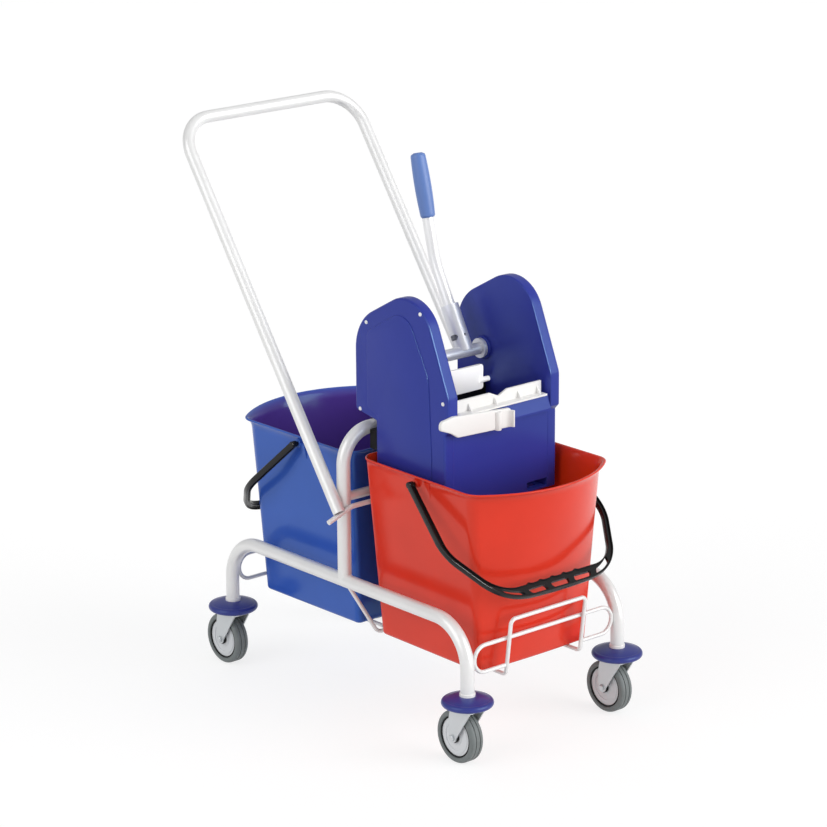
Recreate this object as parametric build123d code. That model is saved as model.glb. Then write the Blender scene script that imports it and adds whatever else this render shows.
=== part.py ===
from build123d import *
import math
import os

# Double-bucket mop trolley with a press wringer.
# Millimetres, +Z up, +X towards the red bucket, wheels on Z = 0.
# Everything is drawn about the centre of the chassis and moved along X at the end,
# so that the origin lies below the middle of the whole trolley.

# Wheels and forks
wheel_diameter = 85.0
tyre_width = 24.0
tyre_thickness = 9.0
tyre_edge_round = 5.0
tread_groove = 1.4
core_rim_thickness = 2.5
core_side_step = 1.5
hub_boss_diameter = 18.0
cap_thickness = 3.0
cap_ring_height = 0.8
axle_diameter = 8.0
axle_head_diameter = 10.0
axle_head_thickness = 3.5
fork_sheet = 2.5
fork_plate_thickness = 3.0
fork_side_gap = 2.2
fork_crown_gap = 6.5
fork_crown_length = 48.0
fork_eye_diameter = 16.0
wheel_trail = 17.0
stem_diameter = 12.0
stem_head_diameter = 20.0
stem_head_thickness = 3.0
stem_collar_diameter = 26.0
stem_collar_thickness = 2.2
plug_length = 34.0
plug_flange_diameter = 25.0
plug_flange_thickness = 5.0

# Bumper discs
bumper_diameter = 82.0
bumper_thickness = 16.0
bumper_crown_diameter = 30.0
bumper_edge_thickness = 11.0
bumper_dome_bulge = 1.0

# Chassis tubes
caster_spacing_x = 584.0
caster_spacing_y = 320.0
tube_diameter = 22.0
tube_wall = 1.5
rail_height = 224.0
rail_bend = 70.0
arch_gap = 28.0
arch_bend = 53.0
brace_height = 362.0
brace_diameter = 15.0

# Push handle
handle_diameter = 20.0
handle_wall = 1.5
handle_bend = 60.0
handle_height = 910.0
handle_reach = 381.0
handle_foot_height = 344.0
handle_foot_reach = 14.0
leg_weld_gap = 0.05

# Rods welded across the arch posts under the handle legs
leg_rod_diameter = 8.0
leg_rod_drop = 10.0
leg_rod_rise = 17.0
leg_rod_inboard = 28.0
leg_rod_outboard = 44.0
leg_rod_bend = 10.0

# Wire cradle
wire_diameter = 6.5
ring_low = 143.0
ring_high = 187.0
fence_height = 220.0
fence_width = 158.0
fence_lean = 12.0
fence_bend = 9.0
cradle_bed = 129.5
hoop_floor_width = 186.0
hoop_bend = 18.0

# Buckets
bucket_seat_gap = 0.5
bucket_height = 299.0
bucket_length = 326.0
bucket_width = 282.0
bucket_wall = 2.5
bucket_floor = 3.0
rim_flange = 7.0
rim_lip = 5.0
rim_thickness = 3.0
foot_width = 224.0
foot_rear_inset = 19.0
foot_front_inset = 66.0
front_bow = 58.0
foot_bow = 4.0
front_flare = 3.0
rim_rear_corner = 30.0
rim_front_corner = 24.0
wall_corner = 10.0
wall_front_corner = 18.0
foot_corner = 10.0
red_rim_rear = 12.0
blue_rim_front = -5.0

# Bails: flat bands in their own plane, measured along their inner edge
bail_pivot_from_rear = 135.0
bail_pivot_drop = 14.0
bail_pin_diameter = 6.0
bail_pin_clearance = 0.05
bail_eye_diameter = 10.5
bail_rim_gap = 1.6
bail_width = 10.5
bail_depth = 9.5
bail_rib = 2.8
bail_groove_depth = 2.6
bail_shoulder_reach = 133.0
bail_shoulder_spread = 19.4
bail_grip_reach = 220.5
bail_grip_breadth = 20.5
bail_grip_width = 230.0
bail_outer_bend = 85.0
bail_inner_bend = 60.0
bail_window_count = 5
bail_window_breadth = 9.0
bail_window_offset = 0.8
bail_window_length = 36.0
bail_window_pitch = 48.0
red_bail_angle = 39.2
blue_bail_angle = 43.0

# Wringer body: rises are above its underside, which hangs below the crossbar's axis
wringer_hang = 98.0
wringer_rear = 29.5
wringer_front = 192.5
wringer_rim_gap = 22.5
cheek_depth = 19.5
shell = 3.0
cover_thickness = 3.0
panel_height = 1.5
cheek_rear = -20.0
cheek_front = 201.0
cheek_rear_foot_rise = 125.0
cheek_rear_top_rise = 269.0
cheek_crest_x = 133.0
cheek_crest_rise = 354.0
cheek_rear_round = 75.0
cheek_crest_round = 64.0
cheek_front_knee_rise = 188.0
cheek_front_foot_rise = 135.0
rear_wall_top_rise = 116.0
front_wall_top_rise = 154.0
lip_drop = 22.0
drain_slot_width = 7.0
drain_slot_pitch = 16.0
notch_width = 44.0
notch_height = 16.0
rivet_diameter = 4.0
rivet_head_diameter = 6.4
rivet_head_height = 1.6
rivet_boss_diameter = 12.0
hook_gap = 0.4
hook_thickness = 8.6
hook_tail = 18.0
hook_tail_thickness = 5.0
hook_width = 16.0
hook_offset = 80.0
hook_pad_bottom_rise = 67.0

# Press mechanism: rises are above the wringer's underside
shaft_x = 43.0
shaft_rise = 199.0
shaft_diameter = 19.0
journal_diameter = 14.0
journal_clearance = 0.06
bush_disc_diameter = 39.0
bush_disc_thickness = 6.0
bush_sleeve_diameter = 22.0
shaft_ring_diameter = 32.0
shaft_ring_thickness = 5.5
running_gap = 0.3
lever_offset = 58.0
lever_tilt = 28.0
lever_tip_tilt = 14.0
lever_diameter = 19.0
lever_wall = 1.6
lever_lower_length = 150.0
lever_upper_length = 171.0
lever_bend = 160.0
socket_diameter = 29.0
socket_length = 78.0
socket_depth = 44.0
socket_window = 9.0
socket_hole = 4.5
grip_diameter = 23.5
grip_length = 98.0
grip_end_wall = 4.0
arm_length = 56.0
arm_width = 30.0
arm_centre = -9.0
arm_hub_diameter = 30.0
arm_eye_diameter = 15.0
press_pin_diameter = 6.0
press_pin_clearance = 0.05
lug_thickness = 5.6
plate_thickness = 5.0
plate_side_gap = 13.0
plate_top_rise = 176.0
plate_bottom_rise = 135.0
backing_thickness = 4.0
backing_side_gap = 3.0
backing_top_rise = 167.0
backing_bottom_rise = 75.0
backing_corner = 34.0
plate_boss_diameter = 9.0
plate_boss_rise = 150.0
plate_end_gap = 2.0
press_angle = 55.0
front_plate_gap = 2.5
front_plate_thickness = 4.0
front_plate_side_gap = 9.0
front_plate_bottom_rise = 65.0
front_plate_top_rise = 176.0
front_plate_dip = 8.0
ledge_thickness = 3.0
gusset_height = 12.0
clip_thickness = 6.0
clip_tab_overhang = 18.5
clip_inner_end = 8.0
clip_top_rise = 160.0
clip_bottom_rise = 125.0
clip_rib_diameter = 11.0

# Worked-out places
post_x = caster_spacing_x / 2
post_y = caster_spacing_y / 2
tube_radius = tube_diameter / 2
wire_radius = wire_diameter / 2
wheel_radius = wheel_diameter / 2
crown_top = wheel_diameter + fork_crown_gap + fork_plate_thickness
bumper_base = crown_top + running_gap + stem_collar_thickness
post_foot = bumper_base + bumper_thickness + plug_flange_thickness
stem_top = post_foot + plug_length * 0.8
leg_y = post_y + tube_radius + handle_diameter / 2 + leg_weld_gap
bucket_base = cradle_bed + bucket_seat_gap
bucket_rim = bucket_base + bucket_height
bail_pivot_z = bucket_rim - bail_pivot_drop
arch_height = bucket_rim + arch_gap + tube_radius
wringer_bottom = arch_height - wringer_hang
wringer_half_width = bucket_width / 2 - wringer_rim_gap
chamber_half_width = wringer_half_width - cheek_depth
plate_half_width = chamber_half_width - plate_side_gap
backing_half_width = chamber_half_width - backing_side_gap
front_plate_half_width = chamber_half_width - front_plate_side_gap
clip_tab_reach = wringer_half_width + clip_tab_overhang
cheek_rear_foot = wringer_bottom + cheek_rear_foot_rise
cheek_rear_top = wringer_bottom + cheek_rear_top_rise
cheek_crest_z = wringer_bottom + cheek_crest_rise
cheek_front_knee = wringer_bottom + cheek_front_knee_rise
cheek_front_foot = wringer_bottom + cheek_front_foot_rise
rear_wall_top = wringer_bottom + rear_wall_top_rise
front_wall_top = wringer_bottom + front_wall_top_rise
hook_pad_bottom = wringer_bottom + hook_pad_bottom_rise
shaft_z = wringer_bottom + shaft_rise
plate_top = wringer_bottom + plate_top_rise
plate_bottom = wringer_bottom + plate_bottom_rise
backing_top = wringer_bottom + backing_top_rise
backing_bottom = wringer_bottom + backing_bottom_rise
plate_boss_height = wringer_bottom + plate_boss_rise
front_plate_bottom = wringer_bottom + front_plate_bottom_rise
front_plate_top = wringer_bottom + front_plate_top_rise
clip_top = wringer_bottom + clip_top_rise
clip_bottom = wringer_bottom + clip_bottom_rise
red_bail_lean = math.radians(red_bail_angle)
bail_front = (bail_grip_reach + bail_grip_breadth) * math.cos(red_bail_lean)
bail_front += bail_depth / 2 * math.sin(red_bail_lean)
front_reach = red_rim_rear + max(bucket_length, bail_pivot_from_rear + bail_front)
rear_reach = handle_reach + handle_diameter / 2
chassis_shift = (rear_reach - front_reach) / 2

parts = {}


def bent_path(points, radius):
    """A chain of straight runs with a round bend of one radius at each inner point."""
    corners = [Vector(*p) for p in points]
    pieces = []
    start = corners[0]
    for before, corner, after in zip(corners, corners[1:], corners[2:]):
        back = (before - corner).normalized()
        ahead = (after - corner).normalized()
        half_angle = math.radians(back.get_angle(ahead)) / 2
        reach = radius / math.tan(half_angle)
        enter = corner + back * reach
        leave = corner + ahead * reach
        crown = corner + (back + ahead).normalized() * (radius / math.sin(half_angle) - radius)
        pieces.append(Line(start, enter))
        pieces.append(ThreePointArc(enter, crown, leave))
        start = leave
    pieces.append(Line(start, corners[-1]))
    return Wire([piece.edge() for piece in pieces])


def rod(points, radius, bend):
    """A round bar along a bent path."""
    path = bent_path(points, bend)
    return sweep(Plane(path @ 0, z_dir=path % 0) * Circle(radius), path=path)


def tube(points, radius, wall, bend):
    """A round tube along a bent path."""
    return rod(points, radius, bend) - rod(points, radius - wall, bend)


def bar_y(x, z, radius, low, high):
    """A round bar along Y."""
    return Pos(x, (low + high) / 2, z) * Rot(90, 0, 0) * Cylinder(radius, high - low)


def block(x0, x1, y0, y1, z0, z1):
    """A box between two corners."""
    return Pos((x0 + x1) / 2, (y0 + y1) / 2, (z0 + z1) / 2) * Box(x1 - x0, y1 - y0, z1 - z0)


def slab_y(face, low, high):
    """A face drawn in X and Z, thickened along Y from low to high."""
    upright = Plane(origin=(0, low, 0), x_dir=(1, 0, 0), z_dir=(0, -1, 0))
    return extrude(upright * face, amount=high - low, dir=(0, 1, 0))


def mirrored(piece):
    """The same piece on the other side of the trolley."""
    return mirror(piece, about=Plane.XZ)


def side_rail_points(y):
    """Centre line of one chassis tube: front post, rail, rear post."""
    return [
        (post_x, y, post_foot),
        (post_x, y, rail_height),
        (-post_x, y, rail_height),
        (-post_x, y, post_foot),
    ]


def arch_points():
    """Centre line of the arch that stands on both rails."""
    return [
        (0, -post_y, rail_height),
        (0, -post_y, arch_height),
        (0, post_y, arch_height),
        (0, post_y, rail_height),
    ]


def make_frame():
    """Chassis tubes, arch, brace, handle legs' rods and push handle."""
    rails_solid = rod(side_rail_points(-post_y), tube_radius, rail_bend)
    rails_solid += rod(side_rail_points(post_y), tube_radius, rail_bend)
    parts["right_side_rail"] = tube(side_rail_points(-post_y), tube_radius, tube_wall, rail_bend)
    parts["left_side_rail"] = tube(side_rail_points(post_y), tube_radius, tube_wall, rail_bend)
    arch_solid = rod(arch_points(), tube_radius, arch_bend)
    parts["centre_arch"] = tube(arch_points(), tube_radius, tube_wall, arch_bend) - rails_solid
    brace = bar_y(0, brace_height, brace_diameter / 2, -post_y, post_y)
    parts["arch_brace"] = brace - arch_solid

    rod_radius = leg_rod_diameter / 2
    rod_x = tube_radius + rod_radius
    rod_z = handle_foot_height - rod_radius + leg_rod_drop
    leg_rod = rod(
        [
            (rod_x, -post_y - leg_rod_outboard, rod_z - leg_rod_rise),
            (rod_x, -post_y + rod_radius, rod_z),
            (rod_x, -post_y + rod_radius + leg_rod_inboard + leg_rod_bend, rod_z),
        ],
        rod_radius,
        leg_rod_bend,
    )
    parts["leg_rods"] = Compound([leg_rod, mirrored(leg_rod)])

    handle = tube(
        [
            (handle_foot_reach, -leg_y, handle_foot_height),
            (-handle_reach, -leg_y, handle_height),
            (-handle_reach, leg_y, handle_height),
            (handle_foot_reach, leg_y, handle_foot_height),
        ],
        handle_diameter / 2,
        handle_wall,
        handle_bend,
    )
    parts["push_handle"] = handle - leg_rod - mirrored(leg_rod)


def cradle_ring(x):
    """A wire ring between two posts: an upper run, half circles and lower runs that end at the fence."""
    radius = (ring_high - ring_low) / 2
    middle = (ring_high + ring_low) / 2
    end_y = post_y - tube_radius - wire_radius - radius
    stop_y = fence_width / 2 + wire_radius
    ring = bar_y(x, ring_high, wire_radius, -end_y, end_y)
    for side in (-1, 1):
        turn = ThreePointArc(
            (x, side * end_y, ring_low), (x, side * (end_y + radius), middle), (x, side * end_y, ring_high)
        )
        ring += sweep(Plane(turn @ 0, z_dir=turn % 0) * Circle(wire_radius), path=turn)
        low, high = sorted((side * stop_y, side * end_y))
        ring += bar_y(x, ring_low, wire_radius, low, high)
    return ring


def cradle_wire(front):
    """A leaning fence outside one bucket whose two legs run on below it as the bucket's bed."""
    bed = cradle_bed - wire_radius
    lean = math.atan2(fence_lean, fence_height - bed)
    touch = post_x + wire_diameter / math.cos(lean)
    top = touch + (fence_height - ring_high) * math.tan(lean)
    foot = top - fence_lean
    end = wire_radius / 4
    half = fence_width / 2
    return rod(
        [
            (front * end, -half, bed),
            (front * foot, -half, bed),
            (front * top, -half, fence_height),
            (front * top, half, fence_height),
            (front * foot, half, bed),
            (front * end, half, bed),
        ],
        wire_radius,
        fence_bend,
    )


def make_cradle():
    """Rings, fences and the hoop that carries the bed wires under the arch."""
    parts["front_cradle_ring"] = cradle_ring(post_x)
    parts["rear_cradle_ring"] = cradle_ring(-post_x)
    parts["front_cradle_wire"] = cradle_wire(1)
    parts["rear_cradle_wire"] = cradle_wire(-1)
    floor = cradle_bed - wire_diameter - wire_radius
    half = hoop_floor_width / 2
    hoop = rod(
        [(0, -post_y, rail_height), (0, -half, floor), (0, half, floor), (0, post_y, rail_height)],
        wire_radius,
        hoop_bend,
    )
    for y in (-post_y, post_y):
        hoop -= rod(side_rail_points(y), tube_radius, rail_bend)
    parts["middle_hoop"] = hoop


def bumper():
    """A domed disc with a round edge and a hole for the stem, base at Z = 0."""
    edge = bumper_diameter / 2
    edge_round = bumper_edge_thickness / 2
    shoulder = edge - edge_round
    crown = bumper_crown_diameter / 2
    hole = stem_diameter / 2
    base = Line((hole, 0), (shoulder, 0))
    side = ThreePointArc((shoulder, 0), (edge, edge_round), (shoulder, bumper_edge_thickness))
    dome = ThreePointArc(
        (shoulder, bumper_edge_thickness),
        ((shoulder + crown) / 2, (bumper_edge_thickness + bumper_thickness) / 2 + bumper_dome_bulge),
        (crown, bumper_thickness),
    )
    close = Polyline((crown, bumper_thickness), (hole, bumper_thickness), (hole, 0))
    return revolve(Plane.XZ * make_face([base, side, dome, close]), axis=Axis.Z)


def post_plug():
    """Plug in the foot of a post: a flange on the bumper and a sleeve that holds the stem."""
    bore = stem_diameter / 2 + journal_clearance
    flange_foot = post_foot - plug_flange_thickness
    plug = Pos(0, 0, post_foot + plug_length / 2) * Cylinder(tube_radius - tube_wall, plug_length)
    flange = Pos(0, 0, flange_foot + plug_flange_thickness / 2) * Cylinder(
        plug_flange_diameter / 2, plug_flange_thickness
    )
    flange = fillet(flange.edges().group_by(Axis.Z)[-1], plug_flange_diameter / 2 - tube_radius)
    depth = stem_top - flange_foot
    return plug + flange - Pos(0, 0, flange_foot + depth / 2) * Cylinder(bore, depth)


def caster_stem():
    """Stem on the swivel axis: rivet head, shaft and collar."""
    head_top = crown_top - fork_plate_thickness - running_gap
    stem = Pos(0, 0, head_top - stem_head_thickness / 2) * Cylinder(
        stem_head_diameter / 2, stem_head_thickness
    )
    stem += Pos(0, 0, (head_top + stem_top) / 2) * Cylinder(stem_diameter / 2, stem_top - head_top)
    stem += Pos(0, 0, bumper_base - stem_collar_thickness / 2) * Cylinder(
        stem_collar_diameter / 2, stem_collar_thickness
    )
    return stem


def caster_fork():
    """Sheet fork: crown plate under the collar and two legs that trail to the axle."""
    inner = tyre_width / 2 + fork_side_gap
    outer = inner + fork_sheet
    half = fork_crown_length / 2
    crown_low = crown_top - fork_plate_thickness
    crown = block(-half, half, -outer, outer, crown_low, crown_top)
    crown = fillet(crown.edges().filter_by(Axis.Z), fork_sheet)
    outline = Pos(-wheel_trail, wheel_radius) * Circle(fork_eye_diameter / 2)
    outline += Polygon(
        (-half + fork_sheet, crown_low),
        (half - fork_sheet, crown_low),
        (half - fork_sheet, crown_low - fork_sheet),
        (-wheel_trail + fork_eye_diameter / 2, wheel_radius),
        (-wheel_trail - fork_eye_diameter / 2, wheel_radius),
        (-half - 1, crown_low - outer),
        align=None,
    )
    fork = crown
    for low, high in ((inner, outer), (-outer, -inner)):
        fork += slab_y(outline, low, high)
    fork -= Pos(0, 0, crown_top) * Cylinder(stem_diameter / 2 + journal_clearance, crown_top)
    fork -= bar_y(-wheel_trail, wheel_radius, axle_diameter / 2, -outer - 1, outer + 1)
    return fork


def caster_axle():
    """Axle bolt with a round head at each end."""
    face = tyre_width / 2 + fork_side_gap + fork_sheet
    axle = bar_y(-wheel_trail, wheel_radius, axle_diameter / 2, -face, face)
    head = bar_y(-wheel_trail, wheel_radius, axle_head_diameter / 2, face, face + axle_head_thickness)
    head = chamfer(head.edges().group_by(Axis.Y)[-1], axle_head_thickness / 3)
    return axle + head + mirrored(head)


def turned(points):
    """A ring turned about the wheel axle from points of radius and width."""
    profile = Plane.XY * Polygon(*points, align=None)
    ring = revolve(profile, axis=Axis.Y)
    return Pos(-wheel_trail, 0, wheel_radius) * ring


def wheel_pieces():
    """Core, side caps and tyre of one wheel, all about the same axle."""
    bore = axle_diameter / 2 + journal_clearance
    seat = wheel_radius - tyre_thickness
    rim_in = seat - core_rim_thickness
    boss = hub_boss_diameter / 2
    rim_half = tyre_width / 2 - core_side_step
    web_half = rim_half - cap_thickness - core_side_step
    hub_half = tyre_width / 2 + fork_side_gap - running_gap
    core = turned(
        [
            (bore, -hub_half),
            (boss, -hub_half),
            (boss, -web_half),
            (rim_in, -web_half),
            (rim_in, -rim_half),
            (seat, -rim_half),
            (seat, rim_half),
            (rim_in, rim_half),
            (rim_in, web_half),
            (boss, web_half),
            (boss, hub_half),
            (bore, hub_half),
        ]
    )
    face = web_half + cap_thickness
    step = (rim_in - boss) / 5
    cap = turned(
        [
            (boss, web_half),
            (rim_in, web_half),
            (rim_in, face),
            (rim_in - step, face),
            (rim_in - step, face + cap_ring_height),
            (rim_in - 2 * step, face + cap_ring_height),
            (rim_in - 2 * step, face),
            (boss + step, face),
            (boss + step, face + cap_ring_height),
            (boss, face + cap_ring_height),
        ]
    )
    half = tyre_width / 2
    tyre = turned(
        [
            (seat, -rim_half),
            (seat + 1, -half),
            (wheel_radius, -half),
            (wheel_radius, half),
            (seat + 1, half),
            (seat, rim_half),
        ]
    )
    circles = tyre.edges().filter_by(GeomType.CIRCLE)
    outer_edges = [e for e in circles if abs(e.radius - wheel_radius) < 0.01]
    tyre = fillet(outer_edges, tyre_edge_round)
    for offset in (-half / 3, half / 3):
        tyre -= turned(
            [
                (wheel_radius - tread_groove, offset - tread_groove / 2),
                (wheel_radius + 1, offset - tread_groove / 2),
                (wheel_radius + 1, offset + tread_groove / 2),
                (wheel_radius - tread_groove, offset + tread_groove / 2),
            ]
        )
    return core, Compound([cap, mirrored(cap)]), tyre


def make_casters():
    """The same caster below each of the four posts."""
    core, caps, tyre = wheel_pieces()
    pieces = {
        "bumper": Pos(0, 0, bumper_base) * bumper(),
        "caster_stem": caster_stem(),
        "caster_fork": caster_fork(),
        "wheel_axle": caster_axle(),
        "wheel_core": core,
        "wheel_caps": caps,
        "tyre": tyre,
    }
    plugs = []
    for end, x in (("front", post_x), ("rear", -post_x)):
        for side, y in (("right", -post_y), ("left", post_y)):
            for name, piece in pieces.items():
                parts[f"{end}_{side}_{name}"] = Pos(x, y, 0) * piece
            plugs.append(Pos(x, y, 0) * post_plug())
    parts["post_plugs"] = Compound(plugs)


def bucket_section(z, half, rear, front, bow, flare, rear_corner, front_corner):
    """Plan of the bucket at one height: flat rear, sides that flare forwards and a bowed front."""
    corner_x = front - bow
    tip = half + flare
    sides = Polyline((corner_x, -tip), (rear, -half), (rear, half), (corner_x, tip))
    nose = ThreePointArc((corner_x, tip), (front, 0), (corner_x, -tip))
    plan = make_face([sides, nose])
    plan = fillet(plan.vertices().group_by(Axis.X)[0], rear_corner)
    tips = [v for v in plan.vertices() if abs(v.X - corner_x) < 0.01 and abs(abs(v.Y) - tip) < 0.01]
    plan = fillet(tips, front_corner)
    return Pos(0, 0, z) * plan


def bucket_shell(inset, base):
    """The tapered body of the bucket, drawn in by the inset, from base to rim."""
    top = bucket_section(
        bucket_rim,
        bucket_width / 2 - rim_flange - inset,
        rim_flange + inset,
        bucket_length - rim_flange - inset,
        front_bow,
        front_flare,
        wall_corner,
        wall_front_corner,
    )
    foot = bucket_section(
        base,
        foot_width / 2 - inset,
        foot_rear_inset + inset,
        bucket_length - foot_front_inset - inset,
        foot_bow,
        front_flare,
        foot_corner,
        foot_corner,
    )
    return loft([foot, top], ruled=True)


def rim_plan(inset):
    """Outline of the rim, drawn in by the inset."""
    return bucket_section(
        0,
        bucket_width / 2 - inset,
        inset,
        bucket_length - inset,
        front_bow,
        front_flare,
        rim_rear_corner - inset,
        rim_front_corner - inset,
    )


def bucket():
    """Bucket with its flat rear at X = 0, with rim, lip and pivot bosses for the bail."""
    inside = bucket_shell(bucket_wall, bucket_base + bucket_floor)
    body = bucket_shell(0, bucket_base)
    flange = extrude(Pos(0, 0, bucket_rim - rim_thickness) * rim_plan(0), amount=rim_thickness)
    lip = extrude(Pos(0, 0, bucket_rim - rim_lip) * rim_plan(0), amount=rim_lip)
    lip -= extrude(Pos(0, 0, bucket_rim - rim_lip) * rim_plan(rim_thickness), amount=rim_lip)
    boss_face = bucket_width / 2 - rim_thickness
    boss_root = bucket_width / 2 - rim_flange - 2 * bucket_wall
    for side in (-1, 1):
        ends = sorted((side * boss_face, side * boss_root))
        body += bar_y(bail_pivot_from_rear, bail_pivot_z, bail_eye_diameter / 2, ends[0], ends[1])
    body += flange + lip
    body -= inside
    hole = bail_pin_diameter / 2 + bail_pin_clearance
    body -= bar_y(bail_pivot_from_rear, bail_pivot_z, hole, -bucket_width, bucket_width)
    return body


def bail_edge(sideways, ahead, bend):
    """A line along the bail in its own plane, so far outwards from the inner edge at arms and grip."""
    eye_y = bucket_width / 2 + bail_rim_gap + sideways
    wide_y = eye_y + bail_shoulder_spread
    reach = bail_grip_reach + ahead
    half_grip = bail_grip_width / 2
    points = [
        (0, -eye_y, 0),
        (bail_shoulder_reach, -wide_y, 0),
        (reach, -half_grip, 0),
        (reach, half_grip, 0),
        (bail_shoulder_reach, wide_y, 0),
        (0, eye_y, 0),
    ]
    return bent_path(points, bend)


def bail_plan(inset):
    """Outline of the bail's band in its own plane, drawn in by the inset."""
    outer = bail_edge(bail_width - inset, bail_grip_breadth - inset, bail_outer_bend)
    inner = bail_edge(inset, inset, bail_inner_bend)
    ends = [Line(outer @ end, inner @ end).edge() for end in (0, 1)]
    return make_face(outer.edges() + inner.edges() + ends)


def bail():
    """Bail in its own plane: reach along X, pivot axis along Y, eye centres on X = 0."""
    band = extrude(bail_plan(0), amount=bail_depth / 2, both=True)
    web = bail_depth / 2 - bail_groove_depth
    groove = Pos(0, 0, web) * extrude(bail_plan(bail_rib), amount=bail_groove_depth)
    band -= groove
    band -= mirror(groove, about=Plane.XY)
    middle_bend = (bail_outer_bend + bail_inner_bend) / 2
    middle_line = bail_edge(bail_width / 2, bail_grip_breadth / 2, middle_bend)
    middle = (bail_window_count - 1) / 2
    for i in range(bail_window_count):
        along = 0.5 + (i - middle) * bail_window_pitch / middle_line.length
        window = Plane(middle_line @ along, x_dir=middle_line % along, z_dir=(0, 0, 1))
        window *= Pos(0, -bail_window_offset, 0)
        band -= window * Box(bail_window_length, bail_window_breadth, 2 * bail_depth)
    eye_low = bucket_width / 2 + bail_rim_gap
    eye_high = eye_low + bail_width
    pin_root = bucket_width / 2 - rim_flange - 3 * bucket_wall
    for side in (-1, 1):
        eye_ends = sorted((side * eye_low, side * eye_high))
        band += bar_y(0, 0, bail_eye_diameter / 2, eye_ends[0], eye_ends[1])
        pin_ends = sorted((side * pin_root, side * (eye_low + bail_width / 2)))
        band += bar_y(0, 0, bail_pin_diameter / 2, pin_ends[0], pin_ends[1])
    return band


def make_buckets():
    """Red bucket ahead of the arch and the same blue bucket turned round behind it."""
    pail = bucket()
    handle = bail()
    for colour, angle, place in (
        ("red", red_bail_angle, Pos(red_rim_rear, 0, 0)),
        ("blue", blue_bail_angle, Pos(blue_rim_front, 0, 0) * Rot(0, 0, 180)),
    ):
        pivot = Pos(bail_pivot_from_rear, 0, bail_pivot_z) * Rot(0, angle, 0)
        parts[f"{colour}_bucket"] = place * pail
        parts[f"{colour}_bail"] = place * pivot * handle


def side_outline(inset):
    """Side view of the wringer: the box below and the rounded cheek above it."""
    low = wringer_bottom + inset
    outline = Polygon(
        (wringer_rear + inset, low),
        (wringer_rear + inset, rear_wall_top + inset),
        (cheek_rear + inset, cheek_rear_foot + inset),
        (cheek_rear + inset, cheek_rear_top - inset * 0.58),
        (cheek_crest_x - inset * 0.33, cheek_crest_z - inset * 1.53),
        (cheek_front - inset, cheek_front_knee - inset * 0.2),
        (cheek_front - inset, cheek_front_foot + inset * 1.6),
        (wringer_front - inset, cheek_front_foot - (cheek_front - wringer_front) + inset * 1.6),
        (wringer_front - inset, low),
        align=None,
    )
    crest = outline.vertices().sort_by(Axis.Y)[-1]
    outline = fillet(crest, cheek_crest_round - inset)
    rear_top = outline.vertices().group_by(Axis.X)[0].sort_by(Axis.Y)[-1]
    return fillet(rear_top, cheek_rear_round - inset)


def rivet_places():
    """Side-view places of the rivets: two high and two low on each cheek."""
    edge = rivet_boss_diameter
    return [
        (cheek_rear + edge, cheek_rear_foot + edge / 4),
        (cheek_rear + 2.4 * edge, cheek_rear_top + edge / 4),
        (cheek_crest_x + edge / 3, cheek_crest_z - 3.7 * edge),
        (cheek_front - edge, cheek_front_knee - 0.85 * edge),
    ]


def wringer_side():
    """One hollow cheek moulding on the +Y side: chamber wall, edge flange and rivet bosses,
    which end at the flange's outer face."""
    outer = wringer_half_width - panel_height - cover_thickness
    skin_back = chamber_half_width + shell
    side = slab_y(side_outline(0), chamber_half_width, outer)
    side -= slab_y(side_outline(shell), skin_back, outer)
    room = slab_y(side_outline(0), skin_back, outer)
    for x, z in rivet_places():
        side += bar_y(x, z, rivet_boss_diameter / 2, skin_back, outer) & room
        side -= bar_y(x, z, rivet_diameter / 2, skin_back, outer)
    side -= bar_y(shaft_x, shaft_z, bush_sleeve_diameter / 2, 0, outer)
    return side


def drain_floor():
    """Floor of the chamber with drain slots across it."""
    floor = block(
        wringer_rear, wringer_front, -chamber_half_width, chamber_half_width,
        wringer_bottom, wringer_bottom + shell,
    )
    count = int((wringer_front - wringer_rear - 2 * drain_slot_pitch) / drain_slot_pitch) + 1
    middle = (wringer_rear + wringer_front) / 2
    for i in range(count):
        x = middle + (i - (count - 1) / 2) * drain_slot_pitch
        for side in (-1, 1):
            y = side * chamber_half_width / 2
            slot = SlotOverall(chamber_half_width * 0.8, drain_slot_width, rotation=90)
            floor -= Pos(x, y, wringer_bottom) * extrude(slot, amount=2 * shell, both=True)
    return floor


def wringer_body():
    """Box and cheeks in one moulding, open at the top and above the rear wall."""
    side = wringer_side()
    body = side + mirrored(side)
    half = chamber_half_width
    body += block(wringer_rear, wringer_rear + shell, -half, half, wringer_bottom, rear_wall_top)
    front = block(wringer_front - shell, wringer_front, -half, half, wringer_bottom, front_wall_top)
    for end in (-1, 1):
        y = end * (half - notch_width / 2)
        front -= Pos(wringer_front, y, wringer_bottom) * Box(4 * shell, notch_width, 2 * notch_height)
    lip = Polygon(
        (wringer_front, front_wall_top),
        (wringer_front + shell, front_wall_top),
        (cheek_front, front_wall_top - lip_drop),
        (cheek_front, front_wall_top - lip_drop - shell),
        (wringer_front, front_wall_top - lip_drop - shell),
        align=None,
    )
    front += slab_y(lip, -half, half)
    return body + front + drain_floor()


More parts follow.
